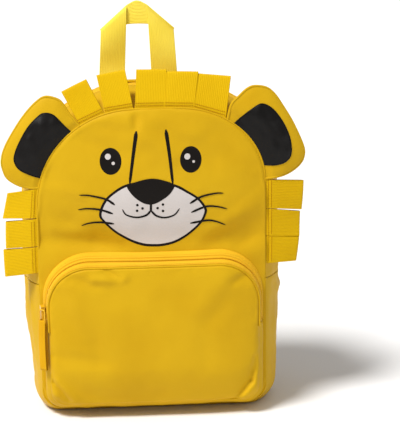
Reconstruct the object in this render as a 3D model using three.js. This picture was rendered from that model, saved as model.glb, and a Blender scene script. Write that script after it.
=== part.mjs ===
import * as THREE from 'three';

// A small child's backpack with a lion's face, standing upright on its base.
// Millimetres. X runs to the right seen from the front, the front faces -Y and Z is up.
// The origin is on the floor under the middle of the bag.

// Bag body
const panelWidth = 227;
const panelTop = 314;
const seamLift = 8;
const bagDepth = 95;
const clothWall = 2;
const seamGap = 0.3;
const leftCorner = { across: 97, down: 96 };
const rightCorner = { across: 85, down: 74 };
const baseCorner = 26;
const gussetBulge = 18;
const baseBulge = 16;
const joinHeight = 137;

// Front and back panels
const frontCrown = 14;
const lowerFrontCrown = 7;
const backPadding = 8;
const backCrown = 4;
const backEdge = { thickness: 0.45, width: 0.06 };

// Main zip along the middle of the top gusset
const zipTapeWidth = 24;
const zipWall = 1.6;
const zipSliderLength = 13;
const zipSliderWidth = 8;
const zipSliderHeight = 4;
const mainSliderShare = 0.56;

// Front pocket
const pocketInset = 3;
const pocketWidth = panelWidth - 2 * pocketInset;
const pocketTop = 171;
const pocketDepth = 27;
const pocketCrown = 5;
const pocketTopCorner = 46;
const pocketBaseCorner = 24;
const pocketSideSlope = 5;
const pocketTopSlope = 11;
const pocketZipEnd = 98;
const pocketSliderHeight = 113;
const pocketSliderTurn = 11.5;
const pocketPullTurn = 50;
const pocketPullForward = 5;

// Ribbon pulls on the zip sliders
const pullWidth = 8;
const pullLength = 52;
const pullWall = 1.4;

// Mane of folded webbing and the two ears, all sewn into the front seam
const maneWidth = 29.4;
const maneLength = { top: 40, side: 36.5 };
const maneWall = 1.3;
const maneBaseGap = 0.4;
const maneFoldGap = 3;
const maneSpacing = 0.4;
const maneTilt = 15;
const topManeShift = 7.3;
const leftManePast = 19;
const rightManePast = 2;
const earWidth = 93;
const earHeight = 50;
const earPuff = 7;
const earEdge = 1.5;
const earTilt = 10;
const earWaist = 1;
const earSeam = { right: 66.4, left: 70 };
const earBesideMane = 1.2;
const earLiningShare = 0.72;
const earLiningWall = 1.2;

// Carry handle of folded webbing at the back of the top
const handleWebbing = 27;
const handleWall = 1.4;
const handleFoldGap = 0.8;
const handleHeight = 94;
const handleOpening = 21;
const handleSpread = 4;
const handleArch = 6;
const handleOffset = -7;

// Shoulder straps on the back
const strapWidth = 48;
const strapThickness = 9;
const strapTopSpacing = 58;
const strapTopDrop = 22;
const strapDrop = 186;
const strapSpread = 38;
const strapStandOff = 35;
const strapSewnShare = 0.55;
const strapEndShare = 0.4;

// Buckles at the straps' ends, and the webbing that comes up to them from the bag's foot
const strapWebbing = 20;
const webbingWall = 1.4;
const buckleMargin = 4;
const buckle = {
  width: strapWebbing + 2 * buckleMargin,
  height: 24,
  thickness: 3.6,
  bar: 3.4,
  slot: 6.2,
};
const buckleClear = 2;
const strapFootAcross = 88;
const strapFootHeight = 20;
const strapFootClear = 1.6;
const webbingRise = 14;
const webbingSag = 4;
const tailLength = 62;
const tailDroop = 9;

const cloth = { color: 0xd9ab20, roughness: 0.55, metalness: 0 };
const webbing = { color: 0xf0c40c, roughness: 0.6, metalness: 0 };
const zipCloth = { color: 0xf5c432, roughness: 0.65, metalness: 0 };
const plasticYellow = { color: 0xeebc22, roughness: 0.35, metalness: 0 };
const blackSatin = { color: 0x1b1718, roughness: 0.4, metalness: 0 };

const halfWidth = panelWidth / 2;
const frontSeam = -bagDepth / 2;
const backSeam = bagDepth / 2;
const point = (x, y, z) => new THREE.Vector3(x, y, z);
const lerp = THREE.MathUtils.lerp;
const smooth = THREE.MathUtils.smoothstep;
const radians = THREE.MathUtils.degToRad;
const shares = (count) => Array.from({ length: count + 1 }, (_, i) => i / count);

const bag = new THREE.Group();

function addPiece(name, geometry, finish) {
  const mesh = new THREE.Mesh(geometry, new THREE.MeshStandardMaterial(finish));
  mesh.name = name;
  bag.add(mesh);
  return mesh;
}

// A wall is two matching grids of points, its outer and its inner face, joined round the edges.
// Rows run one way and columns the other. A row of one point is the middle of a round grid.
function wallBetween(outer, inner, closed) {
  const positions = [];
  const triangles = [];
  const number = (row) => row.map((p) => positions.push(p.x, p.y, p.z) / 3 - 1);
  const outerIds = outer.map(number);
  const innerIds = inner.map(number);
  const columns = outer[0].length;
  const steps = closed ? columns : columns - 1;
  const next = (c) => (c + 1) % columns;
  const quad = (a, b, c, d) => triangles.push(a, b, c, a, c, d);

  for (let r = 0; r + 1 < outer.length; r += 1) {
    for (let c = 0; c < steps; c += 1) {
      const [a, b] = [outerIds[r][c], outerIds[r][next(c)]];
      const [e, f] = [innerIds[r][c], innerIds[r][next(c)]];
      if (outer[r + 1].length === 1) {
        triangles.push(a, b, outerIds[r + 1][0], e, innerIds[r + 1][0], f);
      } else {
        quad(a, b, outerIds[r + 1][next(c)], outerIds[r + 1][c]);
        quad(e, innerIds[r + 1][c], innerIds[r + 1][next(c)], f);
      }
    }
  }
  const last = outer.length - 1;
  for (let c = 0; c < steps; c += 1) {
    quad(outerIds[0][next(c)], outerIds[0][c], innerIds[0][c], innerIds[0][next(c)]);
    if (outer[last].length > 1) {
      quad(outerIds[last][c], outerIds[last][next(c)], innerIds[last][next(c)], innerIds[last][c]);
    }
  }
  if (!closed) {
    for (let r = 0; r < last; r += 1) {
      quad(outerIds[r][0], outerIds[r + 1][0], innerIds[r + 1][0], innerIds[r][0]);
      const end = columns - 1;
      quad(outerIds[r + 1][end], outerIds[r][end], innerIds[r][end], innerIds[r + 1][end]);
    }
  }
  return closedGeometry(positions, triangles);
}

// Faces have to point out, so a shell that came out inside out is turned over.
function closedGeometry(positions, triangles) {
  const corner = (i) => point(...positions.slice(3 * i, 3 * i + 3));
  let volume = 0;
  for (let i = 0; i < triangles.length; i += 3) {
    const [a, b, c] = triangles.slice(i, i + 3).map(corner);
    volume += a.dot(b.cross(c));
  }
  const ordered = volume < 0 ? triangles.slice().reverse() : triangles;
  const geometry = new THREE.BufferGeometry();
  geometry.setAttribute('position', new THREE.Float32BufferAttribute(positions, 3));
  geometry.setIndex(ordered);
  geometry.computeVertexNormals();
  return geometry;
}

// The inner face of a wall lies square to the outer one, towards a point inside the bag.
function offsetGrid(grid, wall, closed, inside) {
  return grid.map((row, r) => row.map((p, c) => {
    if (row.length === 1) {
      return p.clone().addScaledVector(inside.clone().sub(p).normalize(), wall);
    }
    const before = closed ? (c + row.length - 1) % row.length : Math.max(c - 1, 0);
    const after = closed ? (c + 1) % row.length : Math.min(c + 1, row.length - 1);
    const along = row[after].clone().sub(row[before]);
    const above = grid[Math.max(r - 1, 0)];
    const below = grid[Math.min(r + 1, grid.length - 1)];
    const across = (below[c] ?? below[0]).clone().sub(above[c]);
    const normal = along.cross(across).normalize();
    if (normal.dot(inside.clone().sub(p)) < 0) {
      normal.negate();
    }
    return p.clone().addScaledVector(normal, wall);
  }));
}

// A bar through a row of sections, each a ring of the same number of points.
function loft(sections) {
  const positions = sections.flat().flatMap((p) => [p.x, p.y, p.z]);
  const size = sections[0].length;
  const triangles = [];
  for (let s = 0; s + 1 < sections.length; s += 1) {
    for (let i = 0; i < size; i += 1) {
      const [a, b] = [s * size + i, s * size + (i + 1) % size];
      triangles.push(a, b, b + size, a, b + size, a + size);
    }
  }
  const end = (sections.length - 1) * size;
  for (let i = 1; i + 1 < size; i += 1) {
    triangles.push(0, i + 1, i, end, end + i, end + i + 1);
  }
  return closedGeometry(positions, triangles);
}

// The seam round the front panel: straight sides, oval top corners and round base corners.
// It is split where the top gusset joins the bottom one, and both stretches run anticlockwise.
function seamBelowJoin() {
  const path = new THREE.Path();
  const turn = halfWidth - baseCorner;
  path.moveTo(-halfWidth, joinHeight);
  path.lineTo(-halfWidth, seamLift + baseCorner);
  path.absarc(-turn, seamLift + baseCorner, baseCorner, Math.PI, 1.5 * Math.PI);
  path.lineTo(turn, seamLift);
  path.absarc(turn, seamLift + baseCorner, baseCorner, -0.5 * Math.PI, 0);
  path.lineTo(halfWidth, joinHeight);
  return path;
}

function seamAboveJoin() {
  const path = new THREE.Path();
  const { across: rx, down: rz } = rightCorner;
  const { across: lx, down: lz } = leftCorner;
  path.moveTo(halfWidth, joinHeight);
  path.lineTo(halfWidth, panelTop - rz);
  path.absellipse(halfWidth - rx, panelTop - rz, rx, rz, 0, 0.5 * Math.PI, false, 0);
  path.lineTo(-halfWidth + lx, panelTop);
  path.absellipse(-halfWidth + lx, panelTop - lz, lx, lz, 0.5 * Math.PI, Math.PI, false, 0);
  path.lineTo(-halfWidth, joinHeight);
  return path;
}

// A place on a seam, with the direction that points away from the bag.
function station(path, share) {
  const p = path.getPoint(share);
  const t = path.getTangent(share);
  return { x: p.x, z: p.y, outX: t.y, outZ: -t.x };
}

const lowerSeam = seamBelowJoin();
const upperSeam = seamAboveJoin();
const upperLength = upperSeam.getLength();
const onUpperSeam = (distance) => station(upperSeam, distance / upperLength);
const lowerStations = shares(36).map((u) => station(lowerSeam, u));
const upperStations = shares(40).map((u) => station(upperSeam, u));
const allStations = [...lowerStations.slice(0, -1), ...upperStations.slice(0, -1)];

// How far the seam lies from the middle of the panel in each direction.
const panelMiddle = { x: 0, z: panelTop / 2 };
const seamReach = allStations.map((s) => ({
  angle: Math.atan2(s.z - panelMiddle.z, s.x - panelMiddle.x),
  reach: Math.hypot(s.z - panelMiddle.z, s.x - panelMiddle.x),
})).sort((a, b) => a.angle - b.angle);

function reachAt(angle) {
  const count = seamReach.length;
  const after = seamReach.findIndex((s) => s.angle >= angle);
  const b = seamReach[after < 0 ? 0 : after];
  const a = seamReach[((after < 0 ? 0 : after) + count - 1) % count];
  const span = (b.angle - a.angle + 2 * Math.PI) % (2 * Math.PI);
  const part = (angle - a.angle + 2 * Math.PI) % (2 * Math.PI);
  return lerp(a.reach, b.reach, part / span);
}

// Soft dents of the stuffed cloth. Places and sizes are shares of the panel's half width
// and height, depths are shares of its crown.
const panelDents = [
  { across: -0.72, up: 0.62, wide: 0.34, tall: 0.10, depth: 0.22 },
  { across: -0.30, up: 0.90, wide: 0.26, tall: 0.08, depth: 0.16 },
  { across: 0.55, up: 0.84, wide: 0.30, tall: 0.12, depth: 0.20 },
  { across: 0.70, up: 0.60, wide: 0.22, tall: 0.16, depth: 0.18 },
];
const pocketDents = [
  { across: -0.42, up: 0.80, wide: 0.20, tall: 0.10, depth: 0.55 },
  { across: 0.40, up: 0.70, wide: 0.50, tall: 0.16, depth: 0.30 },
  { across: -0.55, up: 0.25, wide: 0.30, tall: 0.14, depth: 0.25 },
];

function dentShare(dents, across, up) {
  return dents.reduce((sum, d) => {
    const away = ((across - d.across) / d.wide) ** 2 + ((up - d.up) / d.tall) ** 2;
    return sum + d.depth * Math.exp(-away);
  }, 0);
}

// Front face of the front panel: flat at the seam, stuffed out in the middle.
function panelCrown(x, z) {
  const angle = Math.atan2(z - panelMiddle.z, x - panelMiddle.x);
  const away = Math.hypot(z - panelMiddle.z, x - panelMiddle.x) / reachAt(angle);
  const dome = 1 - Math.min(away, 1) ** 2.6;
  const crown = lerp(lowerFrontCrown, frontCrown, smooth(z, pocketTop, panelTop * 0.75));
  return dome * crown * (1 - dentShare(panelDents, x / halfWidth, z / panelTop));
}

const panelFace = frontSeam - seamGap - clothWall;
const panelFront = (x, z) => panelFace - panelCrown(x, z);

function panelRings(ringShares, faceAt) {
  const rings = ringShares.map((share) => allStations.map((s) => {
    const x = lerp(panelMiddle.x, s.x, share);
    const z = lerp(panelMiddle.z, s.z, share);
    return point(x, faceAt(x, z), z);
  }));
  const { x, z } = panelMiddle;
  return [...rings, [point(x, faceAt(x, z), z)]];
}

function frontPanel() {
  const rings = [1, 0.94, 0.84, 0.68, 0.48, 0.24];
  const outer = panelRings(rings, panelFront);
  const inner = panelRings(rings, (x, z) => panelFront(x, z) + clothWall);
  return wallBetween(outer, inner, true);
}

// The back panel is padded, so its wall is thicker and only slightly crowned.
function backFace(x, z) {
  const angle = Math.atan2(z - panelMiddle.z, x - panelMiddle.x);
  const away = Math.hypot(z - panelMiddle.z, x - panelMiddle.x) / reachAt(angle);
  const edge = lerp(backEdge.thickness, 1, smooth(1 - Math.min(away, 1), 0, backEdge.width));
  const dome = 1 - Math.min(away, 1) ** 2.6;
  return backSeam + seamGap + backPadding * edge + backCrown * dome;
}

function backPanel() {
  const rings = [1, 0.94, 0.8, 0.5];
  const dome = (x, z) => backFace(x, z) - backPadding;
  const outer = panelRings(rings, backFace);
  const inner = panelRings(rings, (x, z) => Math.max(dome(x, z), backSeam + seamGap));
  return wallBetween(outer, inner, true);
}

// How far the gusset swells past the seam, as shares of gussetBulge by height.
const swellRows = [
  { up: 0.0, left: 0.2, right: 0.6 },
  { up: 0.14, left: 0.4, right: 0.85 },
  { up: 0.28, left: 0.75, right: 1.0 },
  { up: 0.45, left: 0.9, right: 1.05 },
  { up: 0.7, left: 0.85, right: 0.9 },
  { up: 1.0, left: 1.05, right: 1.05 },
];

function swellShare(up, side) {
  const above = swellRows.findIndex((row) => row.up >= Math.min(up, 1));
  const b = swellRows[above];
  const a = swellRows[Math.max(above - 1, 0)];
  const part = b === a ? 0 : (up - a.up) / (b.up - a.up);
  return lerp(a[side], b[side], part);
}

// Upright folds of the side cloth. Places and sizes are shares of the panel's height and
// the bag's depth, depths are shares of gussetBulge.
const gussetFolds = [
  { side: -1, up: 0.24, deep: 0.30, tall: 0.16, wide: 0.07, depth: 0.20 },
  { side: 1, up: 0.30, deep: 0.42, tall: 0.18, wide: 0.08, depth: 0.18 },
  { side: 1, up: 0.12, deep: 0.70, tall: 0.12, wide: 0.09, depth: 0.16 },
];

function foldShare(side, up, deep) {
  return gussetFolds.reduce((sum, f) => {
    const away = ((up - f.up) / f.tall) ** 2 + ((deep - f.deep) / f.wide) ** 2;
    return f.side === side ? sum + f.depth * Math.exp(-away) : sum;
  }, 0);
}

// A point of the gusset: deep runs from 0 at the front seam to 1 at the back seam.
function gussetPoint(s, deep, inset) {
  const side = s.x < panelMiddle.x ? -1 : 1;
  const up = s.z / panelTop;
  const facingDown = Math.max(0, -s.outZ);
  const sideways = gussetBulge * swellShare(up, side < 0 ? 'left' : 'right');
  const fold = gussetBulge * foldShare(side, up, deep) * Math.abs(s.outX);
  const arch = Math.sin(Math.PI * deep) ** 0.85;
  const swell = lerp(sideways, baseBulge, facingDown) * arch - fold * arch - inset;
  const z = Math.max(s.z + s.outZ * swell, inset);
  return point(s.x + s.outX * swell, lerp(frontSeam, backSeam, deep), z);
}

function gussetWall(stations, depths, wall) {
  const grid = (inset) => depths.map((deep) => stations.map((s) => gussetPoint(s, deep, inset)));
  return wallBetween(grid(0), grid(wall), false);
}

// The zip lies in the middle of the top gusset, with a strip of cloth on each side.
const tapeShare = zipTapeWidth / bagDepth;
const tapeStart = 0.5 - tapeShare / 2;
const tapeEnd = 0.5 + tapeShare / 2;
const gapShare = seamGap / bagDepth;
const joinShare = (2 * seamGap) / upperLength;
const trimmedUpper = shares(40).map((u) => station(upperSeam, lerp(joinShare, 1 - joinShare, u)));

function mainBody() {
  const bottomDepths = [0, 0.05, 0.16, 0.33, 0.5, 0.67, 0.84, 0.95, 1];
  const frontDepths = [0, 0.05, 0.16, tapeStart - gapShare];
  const backDepths = [tapeEnd + gapShare, 0.84, 0.95, 1];
  addPiece('front_panel', frontPanel(), cloth);
  addPiece('back_panel', backPanel(), cloth);
  addPiece('bottom_gusset', gussetWall(lowerStations, bottomDepths, clothWall), cloth);
  addPiece('top_gusset_front', gussetWall(trimmedUpper, frontDepths, clothWall), cloth);
  addPiece('top_gusset_back', gussetWall(trimmedUpper, backDepths, clothWall), cloth);
  addPiece('main_zip', gussetWall(trimmedUpper, [tapeStart, 0.5, tapeEnd], zipWall), zipCloth);
}

// A slider body: a block with a waist, its length along Y, sitting on Z = 0.
function sliderBody() {
  const [w, l] = [zipSliderWidth / 2, zipSliderLength / 2];
  const outline = new THREE.Shape();
  outline.moveTo(-w, l);
  outline.quadraticCurveTo(-w * 0.7, 0, -w * 0.8, -l);
  outline.lineTo(w * 0.8, -l);
  outline.quadraticCurveTo(w * 0.7, 0, w, l);
  const depth = zipSliderHeight;
  return new THREE.ExtrudeGeometry(outline, { depth, bevelEnabled: false, curveSegments: 4 });
}

// Puts a piece down with its own Z pointing up off the surface and its own Y along it.
function standOn(mesh, at, up, along) {
  const z = up.clone().normalize();
  const x = along.clone().cross(z).normalize();
  mesh.quaternion.setFromRotationMatrix(new THREE.Matrix4().makeBasis(x, z.clone().cross(x), z));
  mesh.position.copy(at);
}

// A flat band lofted along its middle line. Across is the direction of its width.
function ribbon(points, across, width, wall, steps) {
  const curve = new THREE.CatmullRomCurve3(points, false, 'centripetal');
  return loft(shares(steps).map((u) => {
    const at = curve.getPoint(u);
    const along = curve.getTangent(u);
    const face = across.clone().cross(along).normalize().multiplyScalar(wall / 2);
    const side = along.clone().cross(face).normalize().multiplyScalar(width / 2);
    return [[1, 1], [-1, 1], [-1, -1], [1, -1]].map(([a, b]) => (
      at.clone().addScaledVector(side, a).addScaledVector(face, b)
    ));
  }));
}

// The main zip is shut. Its slider stands behind the mane, and its pull lies along the zip.
function mainZipSlider() {
  const s = station(upperSeam, mainSliderShare);
  const out = point(s.outX, 0, s.outZ);
  const at = gussetPoint(s, 0.5, 0).addScaledVector(out, 2 * seamGap);
  const slider = addPiece('main_zip_slider', sliderBody(), plasticYellow);
  standOn(slider, at, out, point(s.outZ, 0, -s.outX));

  const lift = 2 * seamGap + pullWall / 2;
  const start = (zipSliderLength / 2 + seamGap) / upperLength;
  const run = pullLength / upperLength;
  const points = shares(6).map((u) => {
    const place = station(upperSeam, mainSliderShare - start - run * u);
    const on = gussetPoint(place, 0.5, 0);
    return point(on.x + place.outX * lift, 0, on.z + place.outZ * lift);
  });
  addPiece('main_zip_pull', ribbon(points, point(0, 1, 0), pullWidth, pullWall, 10), webbing);
}

// The pocket is drawn by two outlines: its seam on the panel and the edge of its front.
// Both have the same stations, so that the band between them joins evenly, and the stations
// split where the pocket's zip ends.
const pocketBase = seamLift + 1;
const panelLine = {
  half: pocketWidth / 2,
  top: pocketTop,
  base: pocketBase,
  topCorner: pocketTopCorner,
  lowCorner: pocketBaseCorner,
};
const frontLine = {
  half: pocketWidth / 2 - pocketSideSlope,
  top: pocketTop - pocketTopSlope,
  base: pocketBase + pocketSideSlope,
  topCorner: pocketTopCorner - pocketSideSlope,
  lowCorner: pocketBaseCorner - pocketSideSlope / 2,
};

function pocketHalf({ half, top, base, topCorner, lowCorner }) {
  const arc = (cx, cz, radius, from, u) => {
    const angle = from + 0.5 * Math.PI * u;
    return { x: cx + radius * Math.cos(angle), z: cz + radius * Math.sin(angle) };
  };
  const lowArc = (u) => arc(half - lowCorner, base + lowCorner, lowCorner, -0.5 * Math.PI, u);
  const topArc = (u) => arc(half - topCorner, top - topCorner, topCorner, 0, u);
  const upright = (from, to, u) => ({ x: half, z: lerp(from, to, u) });
  const belowZip = pocketZipEnd - clothWall - seamGap;
  const stretches = [
    { steps: 4, zip: false, at: (u) => ({ x: lerp(0, half - lowCorner, u), z: base }) },
    { steps: 4, zip: false, at: lowArc },
    { steps: 3, zip: false, at: (u) => upright(base + lowCorner, belowZip, u) },
    { steps: 2, zip: true, at: (u) => upright(pocketZipEnd, top - topCorner, u) },
    { steps: 6, zip: true, at: topArc },
    { steps: 4, zip: true, at: (u) => ({ x: lerp(half - topCorner, 0, u), z: top }) },
  ];
  return stretches.flatMap(({ steps, zip, at }, i) => {
    const first = i === 0 || i === 3 ? 0 : 1;
    return shares(steps).slice(first).map((u) => ({ ...at(u), zip }));
  });
}

function pocketStations(line) {
  const right = pocketHalf(line);
  const left = right.slice(1, -1).reverse().map((s) => ({ ...s, x: -s.x }));
  return [...right, ...left];
}

const panelLineStations = pocketStations(panelLine);
const frontLineStations = pocketStations(frontLine);

// The pocket stands further out in the middle of its front than beside its seams.
function pocketFace(x, z, share) {
  const up = (z - pocketBase) / (pocketTop - pocketBase);
  const across = Math.min(Math.abs(x) / (pocketWidth / 2), 1);
  const low = lerp(0.7, 1, smooth(up, 0, 0.3));
  const sides = lerp(0.72, 1, 1 - across ** 4);
  const dented = 1 - dentShare(pocketDents, x / (pocketWidth / 2), up);
  return panelFace - pocketDepth * low * sides - pocketCrown * (1 - share ** 2.5) * dented;
}

const pocketMiddle = { x: 0, z: (frontLine.top + frontLine.base) / 2 };

function pocketFacePoint(s, share) {
  const x = lerp(pocketMiddle.x, s.x, share);
  const z = lerp(pocketMiddle.z, s.z, share);
  return point(x, pocketFace(x, z, share), z);
}

// A point of the band that runs from the panel, at 0, to the edge of the pocket's front, at 1.
function pocketBandPoint(i, share) {
  const seam = panelLineStations[i];
  const onPanel = point(seam.x, panelFront(seam.x, seam.z) - seamGap, seam.z);
  return onPanel.lerp(pocketFacePoint(frontLineStations[i], 1), share);
}

function clearOfPanel(grid) {
  return grid.map((row) => row.map((p) => (
    point(p.x, Math.min(p.y, panelFront(p.x, p.z) - seamGap), p.z)
  )));
}

function pocketFront() {
  const band = (share, zipShare) => panelLineStations.map((s, i) => (
    s.zip ? pocketFacePoint(frontLineStations[i], zipShare) : pocketBandPoint(i, share)
  ));
  const outer = clearOfPanel([
    band(0, 1),
    band(0.55, 0.99),
    ...[0.98, 0.9, 0.72, 0.48, 0.24].map((share) => (
      frontLineStations.map((s) => pocketFacePoint(s, share))
    )),
    [pocketFacePoint(pocketMiddle, 0)],
  ]);
  const inside = point(pocketMiddle.x, panelFace, pocketMiddle.z);
  const inner = clearOfPanel(offsetGrid(outer, clothWall, true, inside));
  return wallBetween(outer, inner, true);
}

// The zip runs round the top of the pocket, from one side seam to the other.
function pocketZip() {
  const onZip = panelLineStations.map((s, i) => i).filter((i) => panelLineStations[i].zip);
  const clear = 2 * seamGap / pocketTopSlope;
  const rows = [0, 0.3, 0.6, 1 - clear];
  const outer = rows.map((share) => onZip.map((i) => {
    const p = pocketBandPoint(i, share);
    const seam = panelLineStations[i];
    const away = point(seam.x - pocketMiddle.x, 0, seam.z - pocketMiddle.z);
    away.setLength((zipWall + seamGap) * share);
    return p.add(away).add(point(0, -zipWall * (1 - share) + seamGap * share, 0));
  }));
  const inside = point(pocketMiddle.x, panelFace, pocketMiddle.z);
  const inner = offsetGrid(outer, zipWall, false, inside);
  return wallBetween(clearOfPanel(outer), clearOfPanel(inner), false);
}

// The slider looks out from the side of the pocket. Its ribbon hangs straight down from the
// slider's front edge, turned a little more towards the front.
function pocketSliderAndPull() {
  const turn = radians(pocketSliderTurn);
  const [outX, outY] = [-Math.cos(turn), -Math.sin(turn)];
  const out = point(outX, outY, 0);
  const x = -pocketWidth / 2 + pocketSideSlope / 2;
  const y = (panelFace + pocketFace(x, pocketSliderHeight, 1)) / 2;
  const at = point(x, y, pocketSliderHeight).addScaledVector(out, zipWall);
  const slider = addPiece('pocket_zip_slider', sliderBody(), plasticYellow);
  standOn(slider, at, out, point(0, 0, 1));

  const top = at.clone().addScaledVector(out, zipSliderHeight / 2);
  top.z -= zipSliderLength / 2 + seamGap;
  top.y -= pocketPullForward;
  const points = shares(4).map((u) => point(top.x, top.y, top.z - pullLength * u));
  const pullTurn = radians(pocketPullTurn);
  const across = point(-Math.sin(pullTurn), Math.cos(pullTurn), 0);
  addPiece('pocket_zip_pull', ribbon(points, across, pullWidth, pullWall, 4), webbing);
}

function frontPocket() {
  addPiece('pocket_front', pocketFront(), cloth);
  addPiece('pocket_zip', pocketZip(), zipCloth);
  pocketSliderAndPull();
}

// Mane: loops of ribbed webbing folded double and sewn into the front seam. Lean is how far
// a loop points from straight up, in degrees anticlockwise, and extra is spare seam before it.
const topMane = [
  { name: 'mane_top_5', lean: -8.3, extra: 0 },
  { name: 'mane_top_4', lean: -2.6, extra: 0 },
  { name: 'mane_top_3', lean: 0, extra: 0 },
  { name: 'mane_top_2', lean: 10.1, extra: 2 },
  { name: 'mane_top_1', lean: 27.6, extra: 0 },
];
const rightMane = [
  { name: 'mane_right_3', lean: -90, extra: 0 },
  { name: 'mane_right_2', lean: -90, extra: 0 },
  { name: 'mane_right_1', lean: -90, extra: 0 },
];
const leftMane = [
  { name: 'mane_left_1', lean: 87.4, extra: 0 },
  { name: 'mane_left_2', lean: 90, extra: 0 },
  { name: 'mane_left_3', lean: 93, extra: 0 },
];

function maneRun(rows) {
  const extra = rows.reduce((sum, row) => sum + row.extra, 0);
  return rows.length * maneWidth + (rows.length - 1) * maneSpacing + extra;
}

// The side manes end a little way round the oval corners, and the ears follow them there.
// The top mane is centred a little to the left of the middle of the top.
const [rightSide, rightOval, topLine] = upperSeam.curves.map((curve) => curve.getLength());
const topMiddle = rightSide + rightOval + topLine / 2;
const topManeStart = topMiddle + topManeShift - maneRun(topMane) / 2;
const straightSide = (corner) => panelTop - corner.down - joinHeight;
const rightManeEnd = straightSide(rightCorner) + rightManePast;
const leftManeAt = upperLength - straightSide(leftCorner) - leftManePast;

// Places down one side of a folded loop and back up the other: out is the share of its
// length, gap the distance of the wall's middle from the middle of the loop.
const halfLoop = (maneBaseGap + maneWall) / 2;
const halfFold = (maneFoldGap + maneWall) / 2;
const loopRows = [
  { out: 0, gap: halfLoop, turn: 0 },
  { out: 0.5, gap: lerp(halfLoop, halfFold, 0.5), turn: 0 },
  { out: 1, gap: halfFold, turn: 0 },
  { out: 1, gap: halfFold, turn: 45 },
  { out: 1, gap: halfFold, turn: 90 },
  { out: 1, gap: halfFold, turn: 135 },
  { out: 1, gap: halfFold, turn: 180 },
  { out: 0.5, gap: lerp(halfLoop, halfFold, 0.5), turn: 180 },
  { out: 0, gap: halfLoop, turn: 180 },
];

function maneLoop(distance, lean, length) {
  const dirX = -Math.sin(radians(lean));
  const dirZ = Math.cos(radians(lean));
  const tilt = radians(maneTilt);
  const straight = length - halfFold - maneWall / 2;
  const thick = halfLoop + maneWall / 2;
  const clear = seamGap + thick * Math.sin(tilt);
  const baseY = frontSeam - thick * Math.cos(tilt);
  const grid = (half) => loopRows.map(({ out, gap, turn: round }) => (
    [0, 0.5, 1].map((share) => {
      const base = onUpperSeam(distance + maneWidth * share);
      const front = Math.cos(radians(round)) * (gap + half);
      const beyond = Math.sin(radians(round)) * (gap + half);
      const run = straight * out + beyond;
      const away = run * Math.cos(tilt) + front * Math.sin(tilt);
      return point(
        base.x + base.outX * clear + dirX * away,
        baseY + run * Math.sin(tilt) - front * Math.cos(tilt),
        base.z + base.outZ * clear + dirZ * away,
      );
    })
  ));
  return wallBetween(grid(maneWall / 2), grid(-maneWall / 2), false);
}

function sewMane(rows, start, length) {
  let distance = start;
  rows.forEach(({ name, lean, extra }) => {
    distance += extra;
    addPiece(name, maneLoop(distance, lean, length), webbing);
    distance += maneWidth + maneSpacing;
  });
}

// Ears: padded, with a black lining on the front. Each is sewn in beside the side mane by
// its own length of seam. Shift is how far it leans along the seam towards the bag's top.
const rightEarAt = rightManeEnd + earBesideMane;
const leftEarEnd = leftManeAt - earBesideMane;
const ears = [
  { side: 'right', from: rightEarAt, to: rightEarAt + earSeam.right, shift: 8 },
  { side: 'left', from: leftEarEnd - earSeam.left, to: leftEarEnd, shift: 0 },
];

// The ear's edge in its own frame: u runs along the chord of its seam, v points outwards.
function earEdgePoints(half, shift, lead) {
  const w = earWidth / 2;
  const h = earHeight;
  const side = new THREE.Path();
  side.moveTo(half, 0);
  side.quadraticCurveTo(shift * lead + w - earWaist, 0.3 * h, shift * lead + w, 0.5 * h);
  side.quadraticCurveTo(shift * lead + w, 0.93 * h, shift * lead + 0.45 * w, 0.99 * h);
  side.quadraticCurveTo(shift * lead, 1.03 * h, shift * lead - 0.45 * w, 0.99 * h);
  side.quadraticCurveTo(shift * lead - w, 0.93 * h, shift * lead - w, 0.5 * h);
  side.quadraticCurveTo(shift * lead - w + earWaist, 0.3 * h, -half, 0);
  return side.getSpacedPoints(22).slice(1, -1);
}

function earFrame({ side, from, to, shift }) {
  const lead = side === 'right' ? 1 : -1;
  const seam = shares(7).map((u) => onUpperSeam(lerp(from, to, u)));
  const ends = [seam[0], seam[seam.length - 1]];
  const middle = { x: (ends[0].x + ends[1].x) / 2, z: (ends[0].z + ends[1].z) / 2 };
  const chord = Math.hypot(ends[1].x - ends[0].x, ends[1].z - ends[0].z);
  const along = { x: (ends[1].x - ends[0].x) / chord, z: (ends[1].z - ends[0].z) / chord };
  const out = { x: along.z, z: -along.x };
  const clear = seamGap + earEdge * Math.sin(radians(earTilt));
  const base = seam.map((s) => {
    const [x, z] = [s.x + s.outX * clear - middle.x, s.z + s.outZ * clear - middle.z];
    return { u: x * along.x + z * along.z, v: x * out.x + z * out.z };
  });
  const curve = earEdgePoints(chord / 2, shift, lead).map((p) => ({ u: p.x, v: p.y }));
  const heart = { u: (shift * lead) / 2, v: earHeight * 0.25 };
  const bow = Math.max(...base.map((b) => b.v));
  return { middle, along, out, edge: [...base, ...curve], heart, bow, half: chord / 2 };
}

// How far a place on the ear is from the bowed seam that holds it.
function earReach(frame, u, v) {
  return v - frame.bow * (1 - Math.min((u / frame.half) ** 2, 1.6));
}

// Half the ear's thickness: thin at its edge and in the seam, thickest past its middle.
function earHalf(frame, share, u, v) {
  const stuffed = (1 - Math.min(share, 1) ** 2.5) ** 0.7;
  const fromSeam = smooth(earReach(frame, u, v), 0, earHeight * 0.45);
  return earEdge + (earPuff - earEdge) * stuffed * fromSeam;
}

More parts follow.
